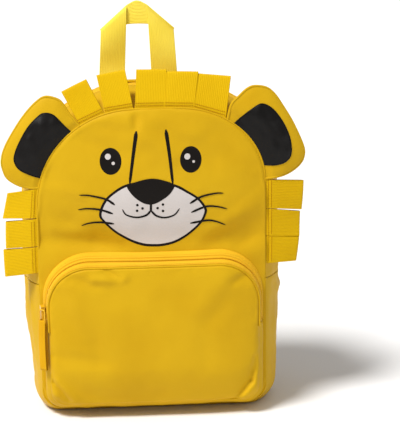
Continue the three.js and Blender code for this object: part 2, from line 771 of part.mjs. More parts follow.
function earPoint(frame, edge, share, front, lift) {
  const u = lerp(frame.heart.u, edge.u, share);
  const v = lerp(frame.heart.v, edge.v, share);
  const tilt = radians(earTilt);
  const off = front * earHalf(frame, share, u, v) + lift;
  const away = v * Math.cos(tilt) + off * Math.sin(tilt);
  const baseY = frontSeam - seamGap - earEdge * Math.cos(tilt);
  return point(
    frame.middle.x + frame.along.x * u + frame.out.x * away,
    baseY + earReach(frame, u, v) * Math.sin(tilt) - off * Math.cos(tilt),
    frame.middle.z + frame.along.z * u + frame.out.z * away,
  );
}

function earSkin(frame, rings, front, lift) {
  const rows = rings.map((share) => frame.edge.map((e) => earPoint(frame, e, share, front, lift)));
  return [...rows, [earPoint(frame, frame.heart, 0, front, lift)]];
}

function sewEar(ear) {
  const frame = earFrame(ear);
  const body = [1, 0.93, earLiningShare, 0.45];
  const lining = [earLiningShare, 0.45];
  const padding = wallBetween(earSkin(frame, body, 1, 0), earSkin(frame, body, -1, 0), true);
  const top = earSkin(frame, lining, 1, seamGap + earLiningWall);
  const under = earSkin(frame, lining, 1, seamGap);
  addPiece(`ear_${ear.side}`, padding, cloth);
  addPiece(`ear_lining_${ear.side}`, wallBetween(top, under, true), blackSatin);
}

// Height of the seam above the join at a given place across the bag.
function seamHeightAt(x) {
  const above = shares(400).map((u) => station(upperSeam, u)).filter((s) => s.z > panelTop / 2);
  const near = above.reduce((a, b) => (Math.abs(b.x - x) < Math.abs(a.x - x) ? b : a));
  return near.z;
}

// The handle is one length of webbing. It goes up, folds over at a mitre, crosses behind
// and folds down again on the other side.
function carryHandle() {
  const layer = (handleFoldGap + handleWall) / 2;
  const middleY = backSeam + seamGap + 2 * handleWall;
  const inner = handleOpening / 2;
  const outer = inner + handleWebbing;
  const top = panelTop + handleHeight;
  const mitre = [0, 0.5, 1].map((u) => ({
    x: lerp(outer, inner, u),
    z: lerp(top - handleWebbing, top, u),
  }));
  const at = (x, y, z) => point(handleOffset + x, middleY + y, z);
  const upright = (side, u, half) => mitre.map(({ x, z }) => {
    const spread = handleSpread * (1 - u);
    const foot = seamHeightAt(handleOffset + side * (x + handleSpread)) + 2 * seamGap;
    return at(side * (x + spread), -layer - half, lerp(foot, z, u));
  });
  const fold = (side, half) => mitre.map(({ x, z }) => {
    const beyond = (half + layer) * Math.SQRT1_2;
    return at(side * (x + beyond), 0, z + beyond);
  });
  const crossing = (share, half) => mitre.map(({ x, z }) => (
    at(share * x, layer + half, z + handleArch * (1 - share * share))
  ));
  const rows = (half) => [
    ...[0, 0.5, 1].map((u) => upright(-1, u, half)),
    fold(-1, half),
    ...[-1, -0.6, -0.25, 0.25, 0.6, 1].map((share) => crossing(share, half)),
    fold(1, half),
    ...[1, 0.5, 0].map((u) => upright(1, u, half)),
  ];
  return wallBetween(rows(handleWall / 2), rows(-handleWall / 2), false);
}

// Shoulder straps: padded, sewn high on the back panel, ending at a buckle. Spread, out and
// down are shares of strapSpread, strapStandOff and strapDrop, thick of strapThickness.
const strapRows = [
  { spread: 0, thick: 0.52, out: 0, down: 0 },
  { spread: 0.03, thick: 0.68, out: 0, down: 0.1 },
  { spread: 0.21, thick: 0, out: 0.63, down: 0.29 },
  { spread: 0.53, thick: 0, out: 0.94, down: 0.55 },
  { spread: 0.84, thick: 0, out: 1, down: 0.81 },
  { spread: 1, thick: 0, out: 0.86, down: 1 },
];
const strapRoute = strapRows.map(({ spread, thick, out, down }) => ({
  across: strapTopSpacing / 2 + strapSpread * spread,
  off: strapThickness * thick + strapStandOff * out,
  up: panelTop - strapTopDrop - strapDrop * down,
}));
const strapFoot = { across: strapFootAcross, off: strapFootClear, up: strapFootHeight };

// The strap's section: corners as shares of its half width and half thickness.
const strapCorners = [
  { side: 1, face: 0.35 },
  { side: 0.86, face: 1 },
  { side: -0.86, face: 1 },
  { side: -1, face: 0.35 },
  { side: -1, face: -0.35 },
  { side: -0.86, face: -1 },
  { side: 0.86, face: -1 },
  { side: 1, face: -0.35 },
];

function onBack({ across, off, up }, lead) {
  return point(lead * across, backFace(across, up) + off, up);
}

function strapCurve(lead) {
  const points = strapRoute.map((place) => onBack(place, lead));
  return new THREE.CatmullRomCurve3(points, false, 'centripetal');
}

// Frame of a strap at a place on its route: along it, across it and out of its face.
function strapFrame(curve, u) {
  const along = curve.getTangent(u);
  const across = point(1, 0, 0).addScaledVector(along, -along.x).normalize();
  return { at: curve.getPoint(u), along, across, face: across.clone().cross(along) };
}

function shoulderStrap(lead) {
  const curve = strapCurve(lead);
  return loft(shares(14).map((u) => {
    const { at, across, face } = strapFrame(curve, u);
    const end = smooth(u, 0.85, 1);
    const sewn = smooth(u, 0, 0.08);
    const half = lerp(strapWidth, buckle.width, end) / 2;
    const thick = strapThickness * lerp(1, strapEndShare, end) * lerp(strapSewnShare, 1, sewn) / 2;
    return strapCorners.map((corner) => (
      at.clone().addScaledVector(across, corner.side * half).addScaledVector(face, corner.face * thick)
    ));
  }));
}

// A buckle with three bars: the strap is sewn round the top one, and the webbing from the
// foot of the bag goes up through the lower slot and hangs down again over the middle bar.
function strapBuckle() {
  const { width, height, thickness, bar, slot } = buckle;
  const outline = new THREE.Shape();
  outline.moveTo(-width / 2, 0);
  outline.lineTo(width / 2, 0);
  outline.lineTo(width / 2, -height);
  outline.lineTo(-width / 2, -height);
  const hole = (top) => {
    const path = new THREE.Path();
    path.moveTo(-width / 2 + bar, top);
    path.lineTo(-width / 2 + bar, top - slot);
    path.lineTo(width / 2 - bar, top - slot);
    path.lineTo(width / 2 - bar, top);
    return path;
  };
  outline.holes.push(hole(-bar), hole(-2 * bar - slot));
  const geometry = new THREE.ExtrudeGeometry(outline, { depth: thickness, bevelEnabled: false });
  return geometry.translate(0, 0, -thickness / 2);
}

function strapHardware(side, lead) {
  const { at, along, across, face } = strapFrame(strapCurve(lead), 1);
  const { bar, slot, thickness } = buckle;
  const place = at.clone().addScaledVector(along, 2 * seamGap);
  const frame = addPiece(`strap_buckle_${side}`, strapBuckle(), plasticYellow);
  standOn(frame, place, face.clone().negate(), along.clone().negate());

  const beside = (down, off) => place.clone().addScaledVector(along, down).addScaledVector(face, off);
  const off = thickness / 2 + webbingWall / 2 + 2 * seamGap;
  const crossing = 2 * bar + 2 * slot - webbingWall / 2 - 3 * seamGap;
  const over = crossing + bar + buckleClear;
  const turned = crossing + 2 * seamGap;
  const foot = onBack(strapFoot, lead);
  const rise = beside(over + webbingRise, off + webbingWall);
  const points = [
    foot,
    foot.clone().lerp(rise, 0.5).add(point(0, webbingSag, 0)),
    rise,
    beside(over, off),
    beside(turned, off * 0.75),
    beside(crossing, 0),
    beside(turned, -off * 0.75),
    beside(over, -off),
    beside(over + tailLength / 3, -off - tailDroop / 3),
    beside(over + tailLength, -off - tailDroop),
  ];
  const strip = ribbon(points, across, strapWebbing, webbingWall, 36);
  addPiece(`strap_webbing_${side}`, strip, webbing);
}

mainBody();
mainZipSlider();
frontPocket();
sewMane(rightMane, rightManeEnd - maneRun(rightMane), maneLength.side);
sewMane(topMane, topManeStart, maneLength.top);
sewMane(leftMane, leftManeAt, maneLength.side);
ears.forEach(sewEar);
addPiece('carry_handle', carryHandle(), webbing);
[{ side: 'right', lead: 1 }, { side: 'left', lead: -1 }].forEach(({ side, lead }) => {
  addPiece(`shoulder_strap_${side}`, shoulderStrap(lead), cloth);
  strapHardware(side, lead);
});

export default bag;
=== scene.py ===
import bisect
from math import atan2, copysign, cos, dist, exp, hypot, pi, radians, sin, sqrt

import bpy
from mathutils import Matrix, Vector, noise


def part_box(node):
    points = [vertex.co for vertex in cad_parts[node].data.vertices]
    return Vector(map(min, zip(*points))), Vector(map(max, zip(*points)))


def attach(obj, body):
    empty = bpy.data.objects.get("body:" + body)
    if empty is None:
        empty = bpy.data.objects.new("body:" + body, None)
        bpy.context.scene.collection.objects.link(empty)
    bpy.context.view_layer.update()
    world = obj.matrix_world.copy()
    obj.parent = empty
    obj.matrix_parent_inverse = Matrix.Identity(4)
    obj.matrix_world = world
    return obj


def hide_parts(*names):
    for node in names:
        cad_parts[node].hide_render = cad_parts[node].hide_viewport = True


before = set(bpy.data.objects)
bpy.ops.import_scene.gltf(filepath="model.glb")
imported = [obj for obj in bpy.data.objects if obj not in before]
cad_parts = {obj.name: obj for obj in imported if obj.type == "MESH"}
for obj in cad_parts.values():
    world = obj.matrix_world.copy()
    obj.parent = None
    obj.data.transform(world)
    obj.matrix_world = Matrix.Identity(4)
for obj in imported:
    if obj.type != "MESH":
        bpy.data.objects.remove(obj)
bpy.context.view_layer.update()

# The view of the photograph: a long lens, a little above the bag and to its left.
# The camera is turned slightly, so that level lines rise to the right.
view_target = Vector((0.0484, -0.046, 0.206))
view_azimuth = radians(-4)
view_elevation = radians(14)
view_roll = radians(0.7)
view_distance = 1.9
view_lens = 160.2
sensor_size = 36
picture_width, picture_height = 400, 427
toward_camera = Vector((
    sin(view_azimuth) * cos(view_elevation),
    -cos(view_azimuth) * cos(view_elevation),
    sin(view_elevation),
))
level_right = (-toward_camera).cross(Vector((0, 0, 1))).normalized()
level_up = level_right.cross(-toward_camera)
right = cos(view_roll) * level_right - sin(view_roll) * level_up
up = sin(view_roll) * level_right + cos(view_roll) * level_up


def place_object(name, data):
    placed = bpy.data.objects.new(name, data)
    bpy.context.collection.objects.link(placed)
    return placed


camera_data = bpy.data.cameras.new("camera")
camera_data.lens = view_lens
camera_data.sensor_width = sensor_size
camera_data.clip_end = 50
camera = place_object("camera", camera_data)
camera.matrix_world = Matrix.Translation(view_target + toward_camera * view_distance) @ Matrix((
    (right.x, up.x, toward_camera.x, 0),
    (right.y, up.y, toward_camera.y, 0),
    (right.z, up.z, toward_camera.z, 0),
    (0, 0, 0, 1),
))
bpy.context.scene.camera = camera

# The studio: a white floor without an edge, a soft light high on the left and in front, and
# an even pale surround that fills the shadows.
floor_reach = 12
surround_strength = 0.41
key_strength = 3.5
key_spread = radians(18)
key_direction = Vector((-0.42, -0.34, 0.84))


def fill_inputs(material, node, inputs):
    """Sets a node's inputs: a socket is linked, and anything else is the input's value."""
    for name, value in inputs.items():
        if isinstance(value, bpy.types.NodeSocket):
            material.node_tree.links.new(value, node.inputs[name])
        else:
            node.inputs[name].default_value = value


def new_material(name):
    made = bpy.data.materials.new(name)
    made.use_nodes = True
    return made, made.node_tree.nodes["Principled BSDF"]


scene = bpy.context.scene
scene.view_settings.view_transform = "Standard"
world = bpy.data.worlds.new("surround")
scene.world = world
world.use_nodes = True
fill_inputs(world, world.node_tree.nodes["Background"],
            {"Color": (1, 1, 1, 1), "Strength": surround_strength})
floor_mesh = bpy.data.meshes.new("floor")
floor_mesh.from_pydata([(x * floor_reach, y * floor_reach, 0)
                        for x, y in ((-1, -1), (1, -1), (1, 1), (-1, 1))], [], [(0, 1, 2, 3)])
paper, paper_shader = new_material("white_paper")
fill_inputs(paper, paper_shader, {"Base Color": (0.89, 0.88, 0.87, 1), "Roughness": 0.9})
floor_mesh.materials.append(paper)
floor = place_object("floor", floor_mesh)
sun_data = bpy.data.lights.new("soft_key", "SUN")
sun_data.energy = key_strength
sun_data.angle = key_spread
sun = place_object("soft_key", sun_data)
sun.rotation_mode = "QUATERNION"
sun.rotation_quaternion = key_direction.to_track_quat("Z", "Y")

# The body's two seams: the cloth face and the padded back are each sewn to the gusset along
# one outline, with oval top corners, straight sides and round base corners. Millimetres.
MM = 0.001
panel_low, panel_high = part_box("front_panel")
half_width = panel_high.x / MM
panel_top = panel_high.z / MM
seam_lift = panel_low.z / MM
seam_gap = 0.3
panel_wall = 2
front_seam = panel_high.y / MM + seam_gap
back_seam = -front_seam
bag_depth = back_seam - front_seam
join_height = 137
left_corner = (97, 96)
right_corner = (85, 74)
base_corner = 18
panel_middle = (0, panel_top / 2)


def corner_points(centre, radii, start, count=60):
    return [(centre[0] + radii[0] * cos(start + pi / 2 * i / count),
             centre[1] + radii[1] * sin(start + pi / 2 * i / count))
            for i in range(count + 1)]


base_turn = half_width - base_corner
outline = [(half_width, join_height)]
outline += corner_points((half_width - right_corner[0], panel_top - right_corner[1]), right_corner, 0)
outline += corner_points((left_corner[0] - half_width, panel_top - left_corner[1]), left_corner,
                         pi / 2)
outline.append((-half_width, join_height))
upper_count = len(outline)
outline += corner_points((-base_turn, seam_lift + base_corner), (base_corner, base_corner), pi)
outline += corner_points((base_turn, seam_lift + base_corner), (base_corner, base_corner),
                         1.5 * pi)
outline.append((half_width, join_height))
run = [0]
for a, b in zip(outline, outline[1:]):
    run.append(run[-1] + dist(a, b))
upper_length = run[upper_count - 1]
seam_length = run[-1]


def seam_at(distance):
    """A place on the seam, anticlockwise from the right join, with its outward direction."""
    d = distance % seam_length
    i = min(max(bisect.bisect_right(run, d) - 1, 0), len(run) - 2)
    while run[i + 1] - run[i] < 1e-9:
        i += 1
    share = (d - run[i]) / (run[i + 1] - run[i])
    (ax, az), (bx, bz) = outline[i], outline[i + 1]
    before, after = outline[i - 1 if i else -2], outline[i + 2 if i + 2 < len(outline) else 1]
    tx = (bx - before[0]) * (1 - share) + (after[0] - ax) * share
    tz = (bz - before[1]) * (1 - share) + (after[1] - az) * share
    size = hypot(tx, tz)
    return ax + (bx - ax) * share, az + (bz - az) * share, tz / size, -tx / size


def seam_near(x, z):
    """The distance along the seam of its place nearest to a point."""
    steps = 2400
    return min((seam_length * i / steps for i in range(steps)),
               key=lambda d: dist(seam_at(d)[:2], (x, z)))


def share_within(points, middle):
    """Makes a function that says how far a place is from the middle to the outline, 0 to 1."""
    table = sorted((atan2(z - middle[1], x - middle[0]),
                    hypot(z - middle[1], x - middle[0])) for x, z in points)
    angles = [angle for angle, reach in table]

    def share(x, z):
        dx, dz = x - middle[0], z - middle[1]
        angle = atan2(dz, dx)
        i = bisect.bisect_right(angles, angle) % len(table)
        (a, ra), (b, rb) = table[i - 1], table[i]
        span = (b - a) % (2 * pi) or 1
        reach = ra + (rb - ra) * ((angle - a) % (2 * pi)) / span
        return min(hypot(dx, dz) / reach, 1)

    return share


seam_share = share_within(outline[:-1], panel_middle)


def smooth(value, low, high):
    t = min(max((value - low) / (high - low), 0), 1)
    return t * t * (3 - 2 * t)


def ruffle(x, y, z, size, seed=0):
    return noise.noise(Vector((x / size + seed, y / size, z / size)))


# The face: one panel of coated polyester, cut to the outline and stuffed out in its middle.
# Low dents show where the cloth is slack, and it puckers where the seam pulls it.
front_crown = 14
lower_crown = 7
pocket_top = 171
panel_face = front_seam - seam_gap - panel_wall
panel_dents = [
    # across and up, wide and tall (shares of the half width and the height), share of the crown
    (-0.72, 0.62, 0.34, 0.10, 0.22), (-0.30, 0.90, 0.26, 0.08, 0.16),
    (0.55, 0.84, 0.30, 0.12, 0.20), (0.70, 0.60, 0.22, 0.16, 0.18),
]
# Folds run between two places: each is a soft furrow (a ridge where its depth is negative).
panel_folds = [
    # from, to, width and depth in millimetres
    ((-112, 262), (-74, 214), 13, 2.62),
    ((-112, 206), (-60, 186), 12, 2.9),
    ((-104, 184), (-30, 176), 9, 2.8),
    ((-96, 196), (-66, 190), 8, -2.27),
    ((-70, 290), (-36, 268), 9, 2.27),
    ((-46, 303), (-10, 285), 9, -2.1),
    ((-18, 306), (20, 268), 10, -2.27),
    ((6, 304), (40, 286), 9, -1.75),
    ((-14, 309), (-14, 298), 4, 2.8),
    ((-52, 300), (-20, 292), 7, 1.93),
    ((18, 294), (60, 262), 10, 1.75),
    ((60, 178), (108, 198), 11, 2.62),
    ((54, 186), (98, 214), 9, -1.57),
    ((88, 176), (112, 186), 8, 2.1),
    ((70, 290), (104, 244), 12, 1.57),
    ((-112, 188), (-50, 183), 18, 3.4),
    ((-50, 183), (90, 183), 13, 1.6),
    ((-108, 226), (-84, 204), 8, 1.8),
    ((-104, 240), (-70, 232), 7, -1.2),
]


def fold_depth(folds, x, z):
    total = 0
    for (ax, az), (bx, bz), width, depth in folds:
        run_x, run_z = bx - ax, bz - az
        length = run_x * run_x + run_z * run_z
        t = min(max(((x - ax) * run_x + (z - az) * run_z) / length, 0), 1)
        away = hypot(x - ax - run_x * t, z - az - run_z * t) / width
        if away < 3:
            fade = 0.55 + 0.45 * sin(pi * (0.15 + 0.7 * t))
            total += depth * exp(-away * away) * fade
    return total


def dent_share(dents, across, up):
    return sum(depth * exp(-((across - x) / wide) ** 2 - ((up - z) / tall) ** 2)
               for x, z, wide, tall, depth in dents)


def panel_y(x, z):
    share = seam_share(x, z)
    dome = 1 - share ** 2.6
    crown = lower_crown + (front_crown - lower_crown) * smooth(z, pocket_top, panel_top * 0.75)
    dents = dent_share(panel_dents, x / half_width, z / panel_top)
    slack = 0.7 * ruffle(x, 0, z, 38) + 0.25 * ruffle(x, 0, z, 13, 5)
    pucker = 0.5 * ruffle(x, 0, z, 7, 9) * smooth(share, 0.86, 0.97)
    y = panel_face - dome * crown * (1 - dents) - (slack + pucker) * smooth(1 - share, 0, 0.12)
    return y + fold_depth(panel_folds, x, z) * smooth(1 - share, 0, 0.05)


def make_piece(name, points, faces, material, node=None, uvs=None, wall=0):
    """A piece in millimetres that rides on the bag and may stand for a node of the frame."""
    mesh = bpy.data.meshes.new(name)
    mesh.from_pydata([tuple(c * MM for c in p) for p in points], [], faces)
    mesh.validate()
    if uvs:
        layer = mesh.uv_layers.new(name="thread")
        for loop in mesh.loops:
            layer.data[loop.index].uv = uvs[loop.vertex_index]
    for face in mesh.polygons:
        face.use_smooth = True
    mesh.materials.append(material)
    piece = place_object(name, mesh)
    if wall:
        thick = piece.modifiers.new("wall", "SOLIDIFY")
        thick.thickness = wall * MM
        thick.offset = -1
    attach(piece, "root")
    if node:
        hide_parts(node)
    return piece


def grid_faces(rows, columns, closed):
    faces = []
    for r in range(rows - 1):
        for c in range(columns if closed else columns - 1):
            n = (c + 1) % columns
            faces.append((r * columns + c, r * columns + n, (r + 1) * columns + n, (r + 1) * columns + c))
    return faces


def flipped(faces):
    return [face[::-1] for face in faces]


def tube_faces(count, sides, closed=False):
    """Faces round a row of rings: the last is joined to the first, or both ends are capped."""
    faces = grid_faces(count, sides, True)
    last = (count - 1) * sides
    if closed:
        return faces + [(last + s, last + (s + 1) % sides, (s + 1) % sides, s) for s in range(sides)]
    return faces + [tuple(range(sides))[::-1], tuple(last + s for s in range(sides))]


def add_node(material, kind, output, inputs=None, **settings):
    """Adds a shader node and gives the output that the next node takes."""
    node = material.node_tree.nodes.new("ShaderNode" + kind)
    for setting, value in settings.items():
        setattr(node, setting, value)
    fill_inputs(material, node, inputs or {})
    return node.outputs[output]


def mix_colours(material, share, first, second):
    return add_node(material, "Mix", "Result", {"Factor": share, "A": (*first, 1), "B": (*second, 1)},
                    data_type="RGBA")


warm_glints = (1, 0.8, 0.35, 1)
cloth_gloss = 0.16
wave_to_mm = 314  # the scale at which a wave texture has one band to a millimetre


def cloth_material(name, colour, shade, weave=0.9, rough=0.5, sheen=0.25, bump=0.25, wrinkle=0.3):
    """Woven cloth: a fine plain weave, slow changes of colour, and small wrinkles."""
    made, shader = new_material(name)
    where = add_node(made, "TexCoord", "Object")
    patches = add_node(made, "TexNoise", "Fac", {"Vector": where, "Scale": 14, "Detail": 3})
    wave = {"Vector": where, "Scale": wave_to_mm / weave, "Distortion": 0.6, "Detail": 1}
    threads = [add_node(made, "TexWave", "Fac", wave, bands_direction=axis) for axis in ("X", "Z")]
    woven = add_node(made, "Math", "Value", dict(enumerate(threads)), operation="MAXIMUM")
    tone = add_node(made, "MapRange", "Result", {"Value": patches, "From Min": 0.25, "From Max": 0.6})
    creases = add_node(made, "TexNoise", "Fac", {"Vector": where, "Scale": 55, "Detail": 4})
    low = add_node(made, "Bump", "Normal", {"Height": creases, "Strength": wrinkle, "Distance": 0.0012})
    fill_inputs(made, shader, {
        "Base Color": mix_colours(made, tone, shade, colour),
        "Roughness": add_node(made, "MapRange", "Result", {
            "Value": patches, "To Min": rough - 0.06, "To Max": rough + 0.08}),
        "Normal": add_node(made, "Bump", "Normal", {
            "Height": woven, "Normal": low, "Strength": bump, "Distance": 0.0002}),
        "Sheen Weight": sheen, "Sheen Roughness": 0.5, "Sheen Tint": (*colour, 1),
        "Specular IOR Level": cloth_gloss, "Specular Tint": warm_glints})
    return made


body_cloth = cloth_material("yellow_polyester", (0.615, 0.368, 0.0085), (0.56, 0.32, 0.0062))


def round_grid(places, middle, ring_shares, put):
    """Rings of points drawn in from an outline to its middle, each put on a surface."""
    points = [put(middle[0] + (x - middle[0]) * share, middle[1] + (z - middle[1]) * share, share)
              for share in ring_shares for x, z in places]
    points.append(put(*middle, 0))
    columns = len(places)
    last = (len(ring_shares) - 1) * columns
    fan = [(last + c, last + (c + 1) % columns, last + columns) for c in range(columns)]
    return points, grid_faces(len(ring_shares), columns, True) + fan


panel_columns = 340
panel_places = [seam_at(seam_length * i / panel_columns)[:2] for i in range(panel_columns)]
panel_rings = [1, 0.994, 0.985] + [0.97 - 0.97 * i / 74 for i in range(74)]
turned_edge = 1.6
points, faces = round_grid(panel_places, panel_middle, panel_rings, lambda x, z, share: (
    x, panel_y(x, z) + turned_edge * smooth(seam_share(x, z), 0.985, 1), z))
make_piece("front_panel_cloth", points, faces, body_cloth, "front_panel", wall=1)

# The lion's face is printed on the panel in black and white ink, so each shape is a thin
# film that lies on the cloth. Places are points of the photograph, and sizes millimetres.
ink_lift = 0.18
ink_gloss = 0.12
film_rings = 14
line_steps = 28
line_tip, line_taper = 0.35, 8
eye_half_width, eye_half_height = 10.7, 13.0
freckle_radius = 1.3
outline_width = 2.6


def ink_material(name, colour, rough):
    made, shader = new_material(name)
    where = add_node(made, "TexCoord", "Object")
    grain = add_node(made, "TexNoise", "Fac", {"Vector": where, "Scale": 900})
    fill_inputs(made, shader, {
        "Base Color": mix_colours(made, grain, [c * 0.9 for c in colour], colour),
        "Normal": add_node(made, "Bump", "Normal", {"Height": grain, "Strength": 0.2, "Distance": 0.0001}),
        "Roughness": rough, "Specular IOR Level": ink_gloss})
    return made


black_ink = ink_material("black_ink", (0.007, 0.005, 0.004), 0.5)
white_ink = ink_material("white_ink", (0.62, 0.57, 0.545), 0.6)


def curve_part(a, b, c, d, t):
    """A place on the smooth curve from b to c, where a comes before them and d after."""
    return 0.5 * (2 * b + (c - a) * t + (2 * a - 5 * b + 4 * c - d) * t ** 2
                  + (3 * b - a - 3 * c + d) * t ** 3)


def smooth_outline(corners, per_span=10):
    """A closed curve through a few given points."""
    count = len(corners)
    curve = []
    for i in range(count):
        span = [corners[(i + k) % count] for k in (-1, 0, 1, 2)]
        curve += [tuple(curve_part(*values, s / per_span) for values in zip(*span))
                  for s in range(per_span)]
    return curve


def print_shape(name, corners, ink, layer, per_span=10):
    curve = smooth_outline(corners, per_span)
    middle = (sum(p[0] for p in curve) / len(curve), sum(p[1] for p in curve) / len(curve))
    shares = [1 - i / film_rings for i in range(film_rings)]
    points, faces = round_grid(curve, middle, shares, lambda x, z, share: (
        x, panel_y(x, z) - ink_lift * layer, z))
    area = sum(a[0] * b[1] - b[0] * a[1] for a, b in zip(curve, curve[1:] + curve[:1]))
    make_piece(name, points, faces if area > 0 else flipped(faces), ink)


def print_line(name, places, widths, ink, layer):
    """A drawn line through given points, with its own width at each end."""
    first = tuple(2 * a - b for a, b in zip(places[0], places[1]))
    last = tuple(2 * a - b for a, b in zip(places[-1], places[-2]))
    ends = [first, *places, last]
    middle = []
    for s in range(line_steps + 1):
        position = s / line_steps * (len(places) - 1)
        i = min(int(position), len(places) - 2)
        middle.append(tuple(curve_part(*values, position - i) for values in zip(*ends[i:i + 4])))
    points = []
    for i, (x, z) in enumerate(middle):
        before, after = middle[max(i - 1, 0)], middle[min(i + 1, line_steps)]
        size = dist(before, after)
        nx, nz = -(after[1] - before[1]) / size, (after[0] - before[0]) / size
        share = i / line_steps
        half = (widths[0] + (widths[1] - widths[0]) * share) / 2
        half *= min(1, line_tip + line_taper * min(share, 1 - share))
        for side in (-1, 0, 1):
            px, pz = x + nx * half * side, z + nz * half * side
            points.append((px, panel_y(px, pz) - ink_lift * layer, pz))
    make_piece(name, points, flipped(grid_faces(line_steps + 1, 3, False)), ink)


def disc(centre, wide, tall, count=12):
    return [(centre[0] + wide * cos(2 * pi * i / count),
             centre[1] + tall * sin(2 * pi * i / count)) for i in range(count)]


eye = (view_target + toward_camera * view_distance) / MM
likely_crown = 11
outline_plane = front_seam - 1.5


def from_photo(px, py):
    """The place on the face panel that a point of the photograph shows, by the camera above."""
    focal = view_lens / sensor_size * picture_height
    ray = -toward_camera * focal + right * (px - picture_width / 2) + up * (picture_height / 2 - py)
    y = panel_face - likely_crown
    for _ in range(4):
        t = (y - eye.y) / ray.y
        x, z = eye.x + ray.x * t, eye.z + ray.z * t
        y = panel_y(x, z)
    return x, z


def in_line(x, z, y):
    """Where a place lies at the depth y, if it is seen at x and z on the plane of the front seam."""
    t = (y - eye.y) / (outline_plane - eye.y)
    return eye.x + (x - eye.x) * t, eye.z + (z - eye.z) * t


def photo_places(*pairs):
    return [from_photo(*pair) for pair in pairs]


for side, eye_centre, glints in (
    ("left", (110.5, 161.2), (((107.8, 156.6), 2.9), ((113.2, 163.3), 1.6))),
    ("right", (190.8, 159.4), (((187.3, 156.4), 3.0), ((193.6, 161.4), 1.3))),
):
    print_shape(f"eye_{side}", disc(from_photo(*eye_centre), eye_half_width, eye_half_height),
                black_ink, 1, 6)
    for number, (place, size) in enumerate(glints, 1):
        print_shape(f"eye_{side}_glint_{number}", disc(from_photo(*place), size, size), white_ink, 2, 4)

muzzle_corners = photo_places(
    (99, 214.7), (102.9, 202.7), (111.5, 193.2), (127, 184.2), (151, 181), (174.4, 184.2), (189, 191.5),
    (199.4, 198.4), (206.3, 207.5), (206.3, 213.9), (201.1, 223.4), (189, 234.6), (176.1, 242.3),
    (163.2, 245.8), (152, 246.4), (141.7, 245.3), (128.8, 240.6), (114.1, 232), (102.9, 221.6))
muzzle_middle = from_photo(152, 214)
print_shape("muzzle_outline", muzzle_corners, black_ink, 1)


def drawn_in(place):
    away = dist(place, muzzle_middle)
    share = (away - outline_width) / away
    return tuple(m + (p - m) * share for m, p in zip(muzzle_middle, place))


print_shape("muzzle", [drawn_in(place) for place in muzzle_corners], white_ink, 2)
print_shape("nose", photo_places(
    (127.9, 185.5), (139, 181), (152, 178.6), (164, 180.5), (174, 184.6), (171.8, 191.5), (165.8, 197.5),
    (157.2, 202.7), (150.7, 204.4), (143.4, 203.1), (134.8, 197.5), (128.3, 189.8)), black_ink, 3)
face_lines = [
    # name, points in the photograph, width at the first and the last point, layer
    ("bridge_left", ((136.3, 131.2), (133.2, 155), (129.6, 184.5)), (3.9, 2.6), 1),
    ("bridge_right", ((165.8, 129.5), (169.5, 155), (172.9, 184.5)), (3.9, 2.6), 1),
    ("philtrum", ((150.9, 203.4), (150.9, 211.8)), (2.3, 2.3), 3),
    ("smile_left", ((122.3, 209.1), (126.2, 214.7), (136.5, 217.3), (146, 215.2), (150.9, 210.4)),
     (1.3, 2.3), 3),
    ("smile_right", ((179.6, 208.3), (174.4, 214.7), (164.9, 217.5), (156.3, 215.6), (150.9, 210.4)),
     (1.3, 2.3), 3),
] + [(f"whisker_{name}", places, (1.1, 2.5), 3) for name, places in (
    ("left_1", ((79.1, 195.1), (89.3, 195.5), (105.9, 199.3), (114.8, 204.8))),
    ("left_2", ((77.8, 209.8), (88, 208.6), (100.8, 209.9), (112.9, 213.7))),
    ("left_3", ((81.4, 225.7), (89.3, 223.2), (100.8, 222.3), (114.2, 223.8))),
    ("right_1", ((223.5, 193), (215.1, 193.3), (201, 196.8), (189.8, 203.4))),
    ("right_2", ((227.4, 208.8), (216.5, 206.4), (205.3, 206.6), (191.2, 212.3))),
    ("right_3", ((225.6, 224.9), (216.5, 221.4), (206.7, 220.3), (190.1, 223.1))),
)]
for name, places, widths, layer in face_lines:
    print_line(name, photo_places(*places), widths, black_ink, layer)
freckles = ((137.3, 205), (142.5, 208.3), (137.1, 210.7), (157.6, 208), (162.9, 204.4), (163, 210.8))
for number, place in enumerate(freckles, 1):
    print_shape(f"freckle_{number}", disc(from_photo(*place), freckle_radius, freckle_radius),
                black_ink, 3, 2)

# The gusset: cloth strips sewn round between the face and the back. One goes down the sides
# and under the base, and two more run over the top on each side of the main zip.
gusset_bulge = 18
base_bulge = 16
zip_tape = 24
join_gap = 0.6
tape_gap = 0.004
side_columns, side_rows = 320, 56
top_columns, top_rows = 300, 20
swell_rows = [
    # height on the bag, share of the bulge on the left side and on the right side
    (0, 0.36, 0.75), (0.14, 0.56, 0.92), (0.28, 0.85, 1.0), (0.45, 0.92, 1.05), (0.7, 0.85, 0.9),
    (1, 1.05, 1.05),
]
gusset_folds = [
    # side, up and deep, tall and wide (shares of the height and the depth), share of the bulge
    (-1, 0.24, 0.30, 0.16, 0.07, 0.20), (1, 0.30, 0.42, 0.18, 0.08, 0.18),
    (1, 0.12, 0.70, 0.12, 0.09, 0.16), (1, 0.376, 0.45, 0.020, 0.22, -0.15),
    (-1, 0.34, 0.16, 0.09, 0.06, -0.22),
]


def swell_share(up, side):
    up = min(max(up, 0), 1)
    for (a, *low), (b, *high) in zip(swell_rows, swell_rows[1:]):
        if up <= b:
            column = 0 if side < 0 else 1
            return low[column] + (high[column] - low[column]) * (up - a) / (b - a)


